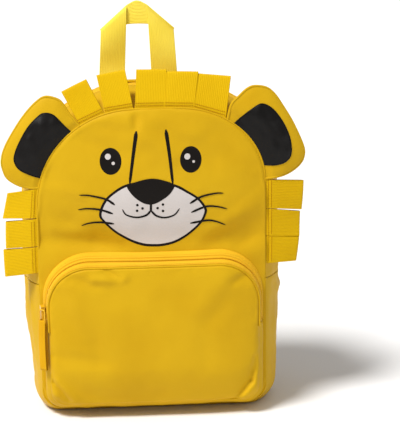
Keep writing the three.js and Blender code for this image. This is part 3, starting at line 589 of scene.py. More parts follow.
def gusset_place(station, deep, lift=0):
    """A point of the gusset: deep runs from 0 at the front seam to 1 at the back seam."""
    x, z, out_x, out_z = station
    side = -1 if x < 0 else 1
    height = z / panel_top
    fold = sum(depth * exp(-((height - at_height) / tall) ** 2 - ((deep - at_deep) / wide) ** 2)
               for fold_side, at_height, at_deep, tall, wide, depth in gusset_folds if fold_side == side)
    sideways = gusset_bulge * swell_share(height, side)
    facing_down = max(0, -out_z)
    arch = sin(pi * deep) ** 0.85 if 0 < deep < 1 else 0
    swell = (sideways + (base_bulge - sideways) * facing_down) * arch
    swell -= gusset_bulge * fold * abs(out_x) * arch
    y = front_seam + bag_depth * deep
    slack = 1.5 * ruffle(x, y * 1.6, z * 0.5, 20, 3) + 0.5 * ruffle(x, y, z, 8, 7)
    swell += slack * sqrt(arch) * (1 - facing_down) + lift
    return x + out_x * swell, y, max(z + out_z * swell, 0)


def gusset_strip(name, start, end, deep_start, deep_end, node, material, columns, rows):
    points, uvs = [], []
    for r in range(rows + 1):
        deep = deep_start + (deep_end - deep_start) * r / rows
        for c in range(columns + 1):
            distance = start + (end - start) * c / columns
            points.append(gusset_place(seam_at(distance), deep))
            uvs.append((distance * MM, deep * bag_depth * MM))
    faces = flipped(grid_faces(rows + 1, columns + 1, False))
    make_piece(name, points, faces, material, node, uvs, wall=1)


tape_start = 0.5 - zip_tape / bag_depth / 2
tape_end = 1 - tape_start
gusset_strip("bottom_gusset_cloth", upper_length, seam_length, 0, 1, "bottom_gusset", body_cloth,
             side_columns, side_rows)
for side, deep_start, deep_end in (
    ("front", 0, tape_start - tape_gap),
    ("back", tape_end + tape_gap, 1),
):
    gusset_strip(f"top_gusset_{side}_cloth", join_gap, upper_length - join_gap, deep_start, deep_end,
                 f"top_gusset_{side}", body_cloth, top_columns, top_rows)

# The seams: where the cloth pieces meet, their turned edges make a narrow rolled ridge that
# puckers a little at each stitch.
roll_radius = 1.1
roll_pucker = 0.075
roll_steps = 700
roll_low = 1.4


def tube_along(name, path, radius, material, closed=False, flat=1):
    """A round bead, cord or thread along a row of places."""
    points = []
    count, sides = len(path), 8
    vectors = [Vector(p) for p in path]
    for i, at in enumerate(vectors):
        before = vectors[(i - 1) % count] if closed or i else at
        after = vectors[(i + 1) % count] if closed or i + 1 < count else at
        along = (after - before).normalized()
        guide = Vector((0, 1, 0)) if abs(along.y) < 0.9 else Vector((1, 0, 0))
        side = along.cross(guide).normalized()
        rise = side.cross(along)
        for s in range(sides):
            turn = 2 * pi * s / sides
            points.append(tuple(at + side * radius * cos(turn)
                                + rise * radius * flat * sin(turn)))
    make_piece(name, points, tube_faces(count, sides, closed), material)


for name, seam_y in (("front_seam_roll", front_seam - 0.6), ("back_seam_roll", back_seam + 1.0)):
    roll = []
    for i in range(roll_steps):
        x, z, out_x, out_z = seam_at(seam_length * i / roll_steps)
        swell = roll_pucker * sin(i * 2.1)
        roll.append((x + out_x * swell, seam_y, max(z + out_z * swell, roll_low)))
    tube_along(name, roll, roll_radius, body_cloth, closed=True)

# The main zip: two woven tapes and a coil between them, over the top of the bag.
# It is shut, and its slider is parked behind the mane.
zip_cloth = cloth_material("zip_tape", (0.78, 0.45, 0.02), (0.72, 0.40, 0.014), weave=0.6, rough=0.55,
                           sheen=0.3, bump=0.4, wrinkle=0.05)
gusset_strip("main_zip_tape", join_gap, upper_length - join_gap, tape_start, tape_end, "main_zip",
             zip_cloth, top_columns, 10)
coil_tooth = 1.5
main_coil_width, main_coil_height = 4.4, 1.1
coil_lift = 0.1


def coil_along(name, places, width, height):
    """Small teeth set side by side along a zip, each a low bar across its middle."""
    points, faces = [], []
    travelled = 0
    carried = 0
    for a, b in zip(places, places[1:]):
        step = dist(a, b)
        while carried <= travelled + step:
            share = (carried - travelled) / step
            at = Vector(a).lerp(Vector(b), share)
            along = (Vector(b) - Vector(a)).normalized()
            side = Vector((0, -1, 0))
            rise = side.cross(along).normalized()
            base = len(points)
            for end in (-1, 1):
                for x, z in ((-0.36, 0), (0.36, 0), (0.22, 0.8), (-0.22, 0.8)):
                    points.append(tuple(at + side * end * width / 2 + along * x * coil_tooth
                                        + rise * z * height))
            faces += [(base, base + 3, base + 2, base + 1), (base + 4, base + 5, base + 6, base + 7)]
            faces += [(base + k, base + (k + 1) % 4, base + 4 + (k + 1) % 4, base + 4 + k)
                      for k in range(4)]
            carried += coil_tooth
        travelled += step
    make_piece(name, points, faces, zip_cloth)


zip_length = upper_length - 2 * join_gap
zip_line = [gusset_place(seam_at(join_gap + zip_length * i / top_columns), 0.5, coil_lift)
            for i in range(top_columns + 1)]
coil_along("main_zip_coil", zip_line, main_coil_width, main_coil_height)

# The zip sliders: cast metal in glossy yellow lacquer with a fine grain, their edges rounded,
# each run on to its zip's coil. The strap buckles have the same finish.
lacquer, lacquer_shader = new_material("yellow_lacquer")
lacquer_grain = add_node(lacquer, "TexNoise", "Fac", {"Scale": 300})
fill_inputs(lacquer, lacquer_shader, {
    "Base Color": mix_colours(lacquer, lacquer_grain, (0.70, 0.38, 0.010), (0.80, 0.46, 0.015)),
    "Roughness": 0.3, "Specular Tint": warm_glints, "Coat Weight": 0.12})


def bevelled_copy(node, name, material, edge):
    """A small hard or woven piece: the frame's own shape with its edges rounded off."""
    piece = place_object(name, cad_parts[node].data.copy())
    piece.data.materials.clear()
    piece.data.materials.append(material)
    rounded = piece.modifiers.new("rounded", "BEVEL")
    rounded.width = edge * MM
    rounded.segments = 3
    rounded.limit_method = "ANGLE"
    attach(piece, "root")
    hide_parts(node)


for place in ("main", "pocket"):
    bevelled_copy(f"{place}_zip_slider", f"{place}_slider", lacquer, 0.7)


def stitch_row(name, path, material, slot, pitch=2.6, length=1.9, radius=0.3):
    """Short thread stitches laid end to end along a row of places on a cloth."""
    points, faces = [], []
    vectors = [Vector(place) for place in path]
    total = [0]
    for a, b in zip(vectors, vectors[1:]):
        total.append(total[-1] + (b - a).length)

    def place_at(distance):
        i = min(max(bisect.bisect_right(total, distance) - 1, 0), len(vectors) - 2)
        span = total[i + 1] - total[i] or 1
        return vectors[i].lerp(vectors[i + 1], (distance - total[i]) / span)

    sides = 5
    for number in range(int(total[-1] / pitch)):
        start, end = place_at(number * pitch), place_at(number * pitch + length)
        along = (end - start).normalized()
        side = along.cross(Vector((0.3, 1, 0.2))).normalized()
        rise = side.cross(along)
        base = len(points)
        for share, thick in ((0, 0.4), (0.25, 1), (0.75, 1), (1, 0.4)):
            for k in range(sides):
                turn = 2 * pi * k / sides
                points.append(tuple(start.lerp(end, share) + (
                    side * cos(turn) + rise * sin(turn)) * radius * thick))
        faces += [tuple(base + v for v in face) for face in tube_faces(4, sides)]
    make_piece(name, points, faces, material)


# The front pocket: a bulging front of the same cloth, sides that stand it off the panel, and
# a zip round its top. Its front's turned edge makes a narrow roll.
pocket_inset = 3
pocket_half = half_width - pocket_inset
pocket_base = seam_lift + 1
pocket_depth = 27
pocket_crown = 5
side_slope = 5
top_slope = 11
zip_end = 98
top_corner = 46
low_corner = 17
tight_turn, soft_turn = 2.2, 5.5
flat_steps, low_steps, side_steps, high_steps = 26, 24, 60, 40
pocket_coil_width, pocket_coil_height = 3.0, 0.8
tape_lift = 0.15
panel_line = dict(half=pocket_half, top=pocket_top, base=pocket_base, high=top_corner, low=low_corner)
front_line = dict(half=pocket_half - side_slope, top=pocket_top - top_slope,
                  base=pocket_base + side_slope, high=top_corner - side_slope,
                  low=low_corner - side_slope / 2)
pocket_dents = [
    # across and up, wide and tall (shares of the half width and the height), share of the crown
    (-0.42, 0.80, 0.20, 0.10, 0.55), (0.40, 0.70, 0.50, 0.16, 0.20), (-0.55, 0.25, 0.30, 0.14, 0.25),
    (-0.44, 0.935, 0.030, 0.030, 0.55), (-0.37, 0.885, 0.075, 0.024, 0.40),
]
pocket_folds = [
    # from, to, width and depth in millimetres, as on the panel
    ((-47, 158), (-36, 150), 4, 2.8),
    ((-60, 149), (-30, 150), 5, -2.4),
    ((-88, 152), (-58, 143), 6, 1.6),
    ((-96, 132), (-52, 66), 12, 1.76),
    ((-84, 140), (-70, 92), 9, -1.44),
    ((40, 112), (78, 156), 9, -0.8),
    ((54, 104), (92, 140), 9, 0.8),
    ((-104, 70), (-60, 64), 8, 1.44),
    ((-100, 46), (-52, 24), 10, 1.28),
    ((70, 20), (104, 52), 7, 2.08),
    ((84, 14), (106, 34), 5, -2.56),
    ((60, 12), (96, 18), 4, 1.92),
    ((-98, 20), (-84, 12), 4, 2.4),
    ((-60, 8), (-40, 13), 4, 1.44),
    ((-10, 8), (8, 13), 4, 1.12),
    ((96, 150), (80, 142), 5, 1.92),
    ((101, 62), (97, 36), 2.6, 2.5),
    ((97, 36), (80, 16), 2.8, 3.2),
    ((103, 42), (90, 20), 3, -1.8),
    ((92, 44), (70, 21), 5, -1.2),
    ((-103, 40), (-88, 20), 2.8, 3.2),
    ((-84, 15.5), (84, 15.5), 1.7, 1.6),
    ((-106, 60), (-103, 40), 2.6, 1.3),
    ((-98, 44), (-80, 22), 4, -1.2),
]


def pocket_outline(line):
    half, top, base, high, low = (line[key] for key in ("half", "top", "base", "high", "low"))
    side = [((half - low) * i / flat_steps, base) for i in range(flat_steps + 1)]
    side += corner_points((half - low, base + low), (low, low), -pi / 2, low_steps)[1:]
    side += [(half, base + low + (top - high - base - low) * i / side_steps)
             for i in range(1, side_steps + 1)]
    side += corner_points((half - high, top - high), (high, high), 0, high_steps)[1:]
    side += [((half - high) * (1 - i / flat_steps), top) for i in range(1, flat_steps + 1)]
    return side + [(-x, z) for x, z in side[-2:0:-1]]


panel_edge_places = pocket_outline(panel_line)
front_edge_places = pocket_outline(front_line)
pocket_middle = (0, (front_line["top"] + front_line["base"]) / 2)
pocket_share = share_within(front_edge_places, pocket_middle)


def pocket_y(x, z):
    share = pocket_share(x, z)
    height = (z - pocket_base) / (pocket_top - pocket_base)
    across = min(abs(x) / pocket_half, 1)
    low = 0.7 + 0.3 * smooth(height, 0, 0.3)
    sides = 0.72 + 0.28 * (1 - across ** 4)
    dented = 1 - dent_share(pocket_dents, x / pocket_half, height)
    slack = 0.8 * ruffle(x, 0, z, 45, 11) + 0.25 * ruffle(x, 0, z, 14, 2)
    pucker = 0.45 * ruffle(x, 0, z, 6, 4) * smooth(share, 0.88, 0.97)
    y = panel_face - pocket_depth * low * sides - pocket_crown * (1 - share ** 2.5) * dented
    y += fold_depth(pocket_folds, x, z) * smooth(1 - share, -0.01, 0.03)
    return y - slack * smooth(1 - share, 0, 0.15) - pucker


def edge_turn(x, z):
    """How far the front turns back at its edge: a tight seam by the zip, a soft round below it."""
    share = pocket_share(x, z)
    below = 1 - smooth(z, zip_end - 8, zip_end + 10)
    soft = min(max((share - 0.93) / 0.07, 0), 1)
    return ((1 - below) * tight_turn * smooth(share, 0.975, 1)
            + below * soft_turn * (1 - sqrt(1 - soft * soft)))


pocket_rings = [1, 0.997, 0.993, 0.988, 0.982, 0.974, 0.965] + [0.955 - 0.955 * i / 70 for i in range(70)]
points, faces = round_grid(front_edge_places, pocket_middle, pocket_rings, lambda x, z, share: (
    x, pocket_y(x, z) + edge_turn(x, z), z))
make_piece("pocket_front_cloth", points, faces, body_cloth, "pocket_front", wall=1)
upper_edge = [(x, pocket_y(x, z) + 1.6, z) for x, z in front_edge_places if z >= zip_end - 6]
tube_along("pocket_edge_roll", upper_edge, 1.0, body_cloth)

zip_profile = [
    # share of the way from the panel to the pocket's front, height of the band there
    (0, -0.4), (0.05, 0.5), (0.38, 0.9), (0.43, -0.7), (0.47, -0.7), (0.50, 0.2), (0.58, 0.2),
    (0.61, -0.7), (0.65, -0.7), (0.70, 0.8), (0.90, 0.7), (0.95, -1.0), (1, -1.3),
]


def profile_height(share):
    for (a, low), (b, high) in zip(zip_profile, zip_profile[1:]):
        if share <= b:
            return low + (high - low) * smooth(share, a, b)
    return zip_profile[-1][1]


def band_place(i, share, lift=0):
    """A place on the band between the panel and the front's edge, raised off it by lift."""
    count = len(panel_edge_places)
    (x, z), (fx, fz) = panel_edge_places[i], front_edge_places[i]
    start = Vector((x, panel_y(x, z), z))
    end = Vector((fx, pocket_y(fx, fz) + max(1.2, edge_turn(fx, fz) - 0.6), fz))
    (ax, az), (bx, bz) = panel_edge_places[i - 1], panel_edge_places[(i + 1) % count]
    out = Vector((bx - ax, 0, bz - az)).cross(end - start).normalized()
    if out.dot(Vector((x - pocket_middle[0], 0, z - pocket_middle[1]))) < 0:
        out.negate()
    at = start.lerp(end, share)
    if z < zip_end:
        folds = 1.6 * sin(pi * share) + 0.8 * ruffle(at.x, at.y * 2, at.z * 0.5, 14, 6)
        return tuple(at + out * (folds * sin(pi * share) ** 0.5 + lift))
    return tuple(at + out * (profile_height(share) + lift))


zip_places = [i for i, (x, z) in enumerate(panel_edge_places) if z >= zip_end]
first_zip, last_zip = zip_places[0], zip_places[-1]
count = len(panel_edge_places)
below_places = [i % count for i in range(last_zip, count + first_zip + 1)]
for name, places, rows, material, slot, node in (
    ("pocket_zip_tape", zip_places, 64, zip_cloth, "zip_tape", "pocket_zip"),
    ("pocket_sides", below_places, 24, body_cloth, "body_cloth", None),
):
    points = [band_place(i, r / rows) for r in range(rows + 1) for i in places]
    make_piece(name, points, grid_faces(rows + 1, len(places), False), material, node, wall=0.8)
coil_along("pocket_zip_coil", [band_place(i, 0.54, tape_lift) for i in zip_places], pocket_coil_width,
           pocket_coil_height)
thread_look = dict(weave=0.4, rough=0.6, sheen=0.3, bump=0.5, wrinkle=0)
thread = cloth_material("yellow_thread", (0.80, 0.50, 0.03), (0.72, 0.43, 0.02), **thread_look)
for row, share in (("upper", 0.30), ("lower", 0.86)):
    sewn = [band_place(i, share, tape_lift) for i in zip_places]
    stitch_row(f"pocket_zip_stitches_{row}", sewn, thread, "zip_tape")
for side, i in (("right", first_zip), ("left", last_zip)):
    tack = [band_place(i, share / 20, 0.5) for share in range(1, 20)]
    stitch_row(f"pocket_zip_bar_tack_{side}", tack, thread, "zip_tape", pitch=0.9, length=0.8,
               radius=0.55)

# Webbing is woven in ribs that run along it. It makes the mane, the handle and the ribbon of
# the pocket's pull, and its ribs are real ridges in the mesh.
rib_height = 0.32
thread_spacing = 1.1


def webbing_material(name, colour, shade):
    made = cloth_material(name, colour, shade, weave=0.8, rough=0.52, sheen=0.35, bump=0.35,
                          wrinkle=0.04)
    shader = made.node_tree.nodes["Principled BSDF"]
    cross = add_node(made, "TexWave", "Fac", {
        "Vector": add_node(made, "UVMap", "UV", uv_map="thread"), "Scale": wave_to_mm / thread_spacing,
    }, bands_direction="Y")
    fill_inputs(made, shader, {"Normal": add_node(made, "Bump", "Normal", {
        "Height": cross, "Normal": shader.inputs["Normal"].links[0].from_socket, "Strength": 0.3,
        "Distance": 0.0002})})
    return made


webbing_cloth = webbing_material("lemon_webbing", (0.70, 0.43, 0.003), (0.64, 0.375, 0.002))


def webbing_strip(name, rows, ribs, width, node, cloth, wall=1.1):
    """Ribbed webbing through rows of (left edge, right edge, outward, belly)."""
    columns = ribs * 4 + 1
    points, uvs = [], []
    travelled = 0
    for number, (left, right_edge, outward, belly) in enumerate(rows):
        if number:
            travelled += (left - rows[number - 1][0]).length
        for c in range(columns):
            share = c / (columns - 1)
            rib = rib_height * (0.5 - 0.5 * cos(2 * pi * share * ribs))
            at = left.lerp(right_edge, share) + outward * (rib + belly * 4 * share * (1 - share))
            points.append(tuple(at))
            uvs.append((share * width * MM, travelled * MM))
    make_piece(name, points, grid_faces(len(rows), columns, False), cloth, node, uvs, wall)


# The mane: eleven loops of webbing folded double, their ends sewn into the front seam.
# Each row gives where a loop's two edges leave the seam and where its fold ends.
mane_width = 29.4
mane_ribs = 18
mane_tilt = radians(15)
foot_gap, half_gap = 0.7, 2.0
sewn_in_depth, sewn_run = 0.3, 0.16
mane_forward = 1.6
front_rows, fold_rows, back_rows = 16, 8, 10
mane_stitch_places = (3.2, 6.0)
mane_thread = cloth_material("mane_thread", (0.48, 0.21, 0.003), (0.42, 0.18, 0.002), **thread_look)
mane_loops = [
    # name, seam edges, fold edges, belly of the front at its fold
    ("mane_top_1", ((-68.5, 299.2), (-45.0, 311.3)), ((-86.3, 333.4), (-61.7, 345.3)), 0.6),
    ("mane_top_2", ((-43.9, 310.7), (-16.2, 313.8)), ((-51.7, 348.8), (-23.5, 353.9)), -0.8),
    ("mane_top_3", ((-14.5, 313.6), (15.0, 313.6)), ((-12.6, 353.6), (17.1, 352.9)), 0.4),
    ("mane_top_4", ((14.9, 313.6), (43.3, 311.4)), ((16.8, 351.0), (48.3, 350.1)), 0.7),
    ("mane_top_5", ((43.0, 311.2), (75.4, 302.9)), ((47.8, 348.1), (80.2, 345.1)), -0.5),
    ("mane_left_1", ((-113.5, 206.5), (-112.9, 237.0)), ((-148.1, 207.8), (-142.3, 233.0)), -0.9),
    ("mane_left_2", ((-113.5, 177.6), (-113.5, 206.0)), ((-145.7, 177.0), (-145.0, 204.4)), 0.6),
    ("mane_left_3", ((-113.3, 150.7), (-113.5, 177.0)), ((-147.5, 148.0), (-148.3, 175.7)), 0.5),
    ("mane_right_1", ((112.8, 239.9), (112.8, 210.5)), ((152.2, 238.0), (150.1, 208.5)), 0.8),
    ("mane_right_2", ((113.2, 210.0), (113.2, 181.8)), ((148.7, 206.4), (148.0, 181.0)), -0.7),
    ("mane_right_3", ((113.2, 181.2), (113.0, 153.1)), ((147.8, 180.4), (144.5, 155.5)), 0.6),
]
for name, seam_edges, fold_edges, belly in mane_loops:
    low_left, low_right = (Vector((x, 0, z)) for x, z in (
        seam_at(seam_near(*corner))[:2] for corner in seam_edges))
    run_length = dist([sum(c) / 2 for c in zip(*fold_edges)], [sum(c) / 2 for c in zip(*seam_edges)])
    fold_y = front_seam - mane_forward + run_length * sin(mane_tilt)
    high_left, high_right = (Vector((x, 0, z)) for x, z in (
        in_line(*corner, fold_y) for corner in fold_edges))
    flat_run = ((high_left + high_right) - (low_left + low_right)) / 2
    forward = flat_run.normalized() * cos(mane_tilt) + Vector((0, sin(mane_tilt), 0))
    outward = (high_right - high_left).cross(forward).normalized()
    if outward.y > 0:
        outward.negate()

    def loop_edges(share, gap, turn):
        y = front_seam + sewn_in_depth - (sewn_in_depth + mane_forward) * smooth(share, 0, sewn_run)
        back = Vector((0, y + run_length * share * sin(mane_tilt), 0))
        facing = outward * cos(turn) + forward * sin(turn)
        cup = belly * share * cos(turn)
        return (low_left.lerp(high_left, share) + back + facing * gap,
                low_right.lerp(high_right, share) + back + facing * gap, facing, cup)

    top = 1 - half_gap / run_length
    widening = half_gap - foot_gap
    rows = [loop_edges(-0.05 + i / front_rows * (top + 0.05), foot_gap + widening * i / front_rows, 0)
            for i in range(front_rows + 1)]
    rows += [loop_edges(top, half_gap, pi * i / fold_rows) for i in range(1, fold_rows)]
    rows += [loop_edges(top - i / back_rows * top, half_gap - widening * i / back_rows, pi)
             for i in range(back_rows + 1)]
    webbing_strip(f"{name}_loop", rows, mane_ribs, mane_width, name, webbing_cloth)
    for number, from_seam in enumerate(mane_stitch_places, 1):
        share = from_seam / run_length
        left, right_edge, facing, cup = loop_edges(share, foot_gap + widening * share, 0)
        sewn = []
        for across in (k / 24 for k in range(25)):
            raised = rib_height * 0.75 + cup * 4 * across * (1 - across)
            sewn.append(left.lerp(right_edge, across) + facing * raised)
        stitch_row(f"{name}_stitches_{number}", sewn, mane_thread, "webbing", pitch=2.0, length=1.8,
                   radius=0.34)

# The ears: yellow cloth, lightly padded, sewn into the front seam, each faced with black
# satin. Outlines are millimetres along the ear's seam and out from it.
ear_tilt = radians(10)
ear_edge = 1.5
ear_puff = 7
ear_rings = [1 - i / 32 for i in range(32)]
satin_gap = 0.15
edge_bead, satin_bead = 1.45, 0.5
ear_shapes = [
    dict(side="left", middle=(-90.2, 268.3), out=146.8, bow=6.5, half=36,
         sewn=((-111, 237.6), (-69.3, 298.9)), edge=[
             (41, 13), (46.7, 24.6), (48, 32), (43.9, 43), (34.4, 47.7), (20, 50.4), (1.9, 51.2),
             (-19.4, 50), (-33, 45.7), (-40.5, 39), (-44.9, 31.6), (-45.1, 19.5), (-41.8, 8.8)],
         lining_sewn=((-107.8, 247.2), (-76.7, 291.8)), lining=[
             (29.5, 11), (33.3, 24.1), (32.9, 30.3), (30.8, 34.4), (26.3, 37.8), (10.3, 41.1),
             (-9.2, 40.2), (-22, 37.3), (-27.8, 32.6), (-30.4, 25.5), (-29.6, 13)]),
    dict(side="right", middle=(99.8, 270.2), out=26.2, bow=6, half=36,
         sewn=((114.3, 240.5), (77.5, 302.6)), edge=[
             (49.7, 3), (53.5, 12.8), (56.6, 23.7), (55.7, 31.7), (48.9, 41.2), (39, 45.5), (26.4, 47.2),
             (8.6, 48.7), (-10.9, 48.4), (-23.8, 46.8), (-31, 42.5), (-34.6, 37.5), (-37, 30),
             (-37.8, 21.6), (-36.7, 12.7)],
         lining_sewn=((109, 254), (84.4, 299.3)), lining=[
             (36.5, 13), (38.5, 25), (37.5, 29.7), (33, 34), (24.3, 37.7), (10, 39.6), (-4.5, 38.8),
             (-15.6, 35.4), (-21.5, 32), (-24.6, 28), (-25.8, 22), (-24.2, 13.8)]),
]
black_satin = cloth_material("black_satin", (0.006, 0.005, 0.0045), (0.004, 0.0035, 0.003), weave=0.5,
                             rough=0.40, sheen=0, bump=0.15, wrinkle=0.5)
fill_inputs(black_satin, black_satin.node_tree.nodes["Principled BSDF"], {"Specular Tint": (1, 1, 1, 1)})
for ear in ear_shapes:
    side = ear["side"]
    turn = radians(ear["out"])
    out_x, out_z = cos(turn), sin(turn)
    along_x, along_z = (out_z, -out_x) if side == "left" else (-out_z, out_x)

    def on_ear(x, z):
        dx, dz = x - ear["middle"][0], z - ear["middle"][1]
        return dx * along_x + dz * along_z, dx * out_x + dz * out_z

    def sewn_outline(sewn, loose, beyond):
        """An outline that follows the seam between two places and hangs loose round the rest."""
        low, high = (seam_near(*place) for place in sewn)
        base = []
        for i in range(9):
            x, z, seam_x, seam_z = seam_at(low + (high - low) * i / 8)
            base.append(on_ear(x + seam_x * beyond, z + seam_z * beyond))
        corners = [base[-1], base[-1], *loose, base[0], base[0]]
        return base[:-1] + smooth_outline(corners, 12)[12:12 * (len(loose) + 2)]

    edge_curve = sewn_outline(ear["sewn"], ear["edge"], -0.4)
    lining_curve = sewn_outline(ear["lining_sewn"], ear["lining"], 0.5)
    heart = (sum(u for u, v in edge_curve) / len(edge_curve), 24)
    ear_share = share_within(edge_curve, heart)

    def ear_point(u, v, front, lift=0):
        reach = max(v - ear["bow"] * (1 - min((u / ear["half"]) ** 2, 1.6)), 0)
        stuffed = (1 - ear_share(u, v) ** 2.5) ** 0.7
        slack = 0.9 * ruffle(u, front * 3, v, 17, 8) * stuffed * smooth(reach, 0, 12)
        seam_thin = 0.5 + (ear_edge - 0.5) * smooth(reach, 0, 8)
        thick = seam_thin + (ear_puff - ear_edge) * stuffed * smooth(reach, 0, 22) + slack
        off = front * thick + lift
        y = front_seam - seam_gap - ear_edge * smooth(reach, 0, 9) + reach * sin(ear_tilt)
        x, z = in_line(ear["middle"][0] + along_x * u + out_x * v,
                       ear["middle"][1] + along_z * u + out_z * v, y)
        sideways = off * sin(ear_tilt)
        return x + out_x * sideways, y - off * cos(ear_tilt), z + out_z * sideways

    front_skin, skin_faces = round_grid(edge_curve, heart, ear_rings, lambda u, v, share: (
        ear_point(u, v, 1)))
    back_skin = round_grid(edge_curve, heart, ear_rings, lambda u, v, share: ear_point(u, v, -1))[0]
    columns, offset = len(edge_curve), len(front_skin)
    faces = flipped(skin_faces) + [tuple(v + offset for v in face) for face in skin_faces]
    faces += [(c, c + offset, (c + 1) % columns + offset, (c + 1) % columns) for c in range(columns)]
    if side == "left":
        faces = flipped(faces)
    body = make_piece(f"ear_{side}_padding", front_skin + back_skin, faces, body_cloth,
                      f"ear_{side}")
    loose_edge = edge_curve[8:] + edge_curve[:1]
    tube_along(f"ear_{side}_edge_seam", [ear_point(u, v, 0) for u, v in loose_edge], edge_bead,
               body_cloth)
    lining_middle = (sum(u for u, v in lining_curve) / len(lining_curve), 23)

    def satin_point(u, v, share):
        creases = 1.5 * ruffle(u * 0.7, 0, v * 1.2, 9, 3) + 1.6 * ruffle(u, 2, v, 17, 6)
        return ear_point(u, v, 1, satin_gap + max(1.6 + creases, 0.1) * (1 - share ** 5))

    satin, faces = round_grid(lining_curve, lining_middle, ear_rings, satin_point)
    if side == "right":
        faces = flipped(faces)
    make_piece(f"ear_{side}_satin", satin, faces, black_satin,
               f"ear_lining_{side}", wall=0.4)
    satin_loose = lining_curve[8:] + lining_curve[:1]
    tube_along(f"ear_{side}_satin_edge", [ear_point(u, v, 1, satin_gap) for u, v in satin_loose],
               satin_bead, black_satin)

# The carry handle: one length of webbing. It goes up from the back seam, is folded over at a
# mitre, crosses behind itself and is folded down again.
handle_width = 27
handle_ribs = 16
handle_offset = -7
handle_opening = 21
handle_height = 88
handle_spread = 4
handle_arch = 6
handle_ripple = 1.4
handle_layer = 1.1
handle_stand_off = 2.8
mitre_rise = 3
handle_y = back_seam + seam_gap + handle_stand_off
handle_top = panel_top + handle_height
inner, outer = handle_opening / 2, handle_opening / 2 + handle_width
mitre_outer, mitre_inner = (outer, handle_top - handle_width + mitre_rise), (inner, handle_top)
upper_places = [seam_at(upper_length * i / 400)[:2] for i in range(401)]


def seam_height(x):
    return min((place for place in upper_places if place[1] > panel_top / 2),
               key=lambda place: abs(place[0] - x))[1]


# The handle's webbing is coloured paler than the mane's webbing. This is painted light, standing in for
# the stronger light that falls on the top of the bag.
painted_light_webbing = webbing_material("webbing_with_painted_light", (0.98, 0.80, 0.10), (0.90, 0.70, 0.06))
front_facing, back_facing = Vector((0, -1, 0)), Vector((0, 1, 0))
rising = [i / 24 for i in range(25)]
falling = [1 - share for share in rising]
rows = []


def handle_row(corners, y, facing, belly=0):
    left, right_edge = (Vector((handle_offset + x, y, z)) for x, z in corners)
    rows.append((left, right_edge, facing, belly))


def upright_rows(side, shares):
    for share in shares:
        spread = handle_spread * (1 - share)
        corners = []
        for x, z in (mitre_outer, mitre_inner):
            foot = seam_height(handle_offset + side * (x + handle_spread)) - 4
            corners.append((side * (x + spread), foot + (z - foot) * share))
        ripple = handle_ripple * sin(share * 7 + side)
        handle_row(corners, handle_y - handle_layer + ripple, front_facing, 0.5)


def mitre_rows(side, turns):
    """The fold where an upright is turned over, one row for each angle that the webbing has turned by."""
    for turn in turns:
        lean = radians(turn)
        beyond = handle_layer * sin(lean) * 0.7
        corners = [(side * (x + beyond), z + beyond) for x, z in (mitre_outer, mitre_inner)]
        facing = front_facing * cos(lean) + Vector((0.7 * side, 0, 0.7)) * sin(lean)
        handle_row(corners, handle_y - handle_layer * cos(lean), facing.normalized())


upright_rows(-1, rising)
mitre_rows(-1, (45, 90, 135))
for i in range(25):
    share = -1 + 2 * i / 24
    corners = [(share * x, z + handle_arch * (1 - share * share)) for x, z in (mitre_outer, mitre_inner)]
    handle_row(corners, handle_y + handle_layer, back_facing)
mitre_rows(1, (135, 90, 45))
upright_rows(1, falling)
webbing_strip("carry_handle_webbing", rows, handle_ribs, handle_width, "carry_handle", painted_light_webbing)

# The back: a padded panel of the same cloth, sewn into the back seam. A row of stitches runs
# round it inside its border, and two upright rows part it into three channels.
back_padding = 8
back_crown = 4
back_cloth = cloth_material("back_polyester", (0.64, 0.385, 0.015), (0.57, 0.33, 0.011), weave=1.2,
                            rough=0.6, sheen=0.3, bump=0.5, wrinkle=0.3)
channel_places = (-38, 38)
channel_depth = 2.2
channel_low, channel_high = 40, 281
border_share = 0.88
back_stitches = dict(pitch=3, length=2.2)
back_stitch_lift = 0.2


def back_y(x, z):
    share = seam_share(x, z)
    edge = 0.45 + 0.55 * smooth(1 - share, 0, 0.06)
    inside = smooth(1 - share, 0.08, 0.16)
    channel = sum(channel_depth * exp(-((x - place) / 3) ** 2) for place in channel_places) * inside
    border = 1.6 * exp(-((share - border_share) / 0.014) ** 2)
    slack = 0.5 * ruffle(x, 0, z, 30, 12) + 0.25 * ruffle(x, 0, z, 9, 1)
    puffed = back_seam + seam_gap + back_padding * edge + back_crown * (1 - share ** 2.6)
    return puffed - channel - border + slack * smooth(1 - share, 0, 0.1)


points, faces = round_grid(panel_places, panel_middle, panel_rings, lambda x, z, share: (
    x, back_y(x, z), z))
back = make_piece("back_panel_padding", points, flipped(faces), back_cloth, "back_panel",
                  wall=2)
border_path = []
for i in range(panel_columns + 1):
    x, z = panel_places[i % panel_columns]
    x, z = x * border_share, panel_middle[1] + (z - panel_middle[1]) * border_share
    border_path.append((x, back_y(x, z) + back_stitch_lift, z))
stitch_row("back_border_stitches", border_path, thread, "back_padding", **back_stitches)
for number, x in enumerate(channel_places, 1):
    path = [(x, back_y(x, z) + back_stitch_lift, z) for z in range(channel_low, channel_high, 4)]
    stitch_row(f"back_channel_stitches_{number}", path, thread, "back_padding", **back_stitches)

# The shoulder straps: padded cloth, bound along both edges, sewn high on the back. Each ends
# at a three-bar buckle, and webbing from the foot of the bag runs through it.
strap_width = 48
strap_thickness = 9
strap_top_spacing = 58
strap_top_drop = 22
strap_drop = 186
strap_spread = 38
strap_stand_off = 35
strap_end_width = 28
strap_ring = 40
strap_steps = 18
strap_stitch_inset = 7
binding_inset, binding_radius = 0.6, 2.0
strap_rows = [
    # shares of the spread, the thickness, the stand-off and the drop, from the top down
    (0, 0.52, 0, 0), (0.03, 0.68, 0, 0.1), (0.21, 0, 0.63, 0.29), (0.53, 0, 0.94, 0.55),
    (0.84, 0, 1, 0.81), (1, 0, 0.86, 1),
]


def boxy(value, power):
    """Bends a sine or cosine, so that a circle of them turns into a box with round corners."""
    return copysign(abs(value) ** power, value)


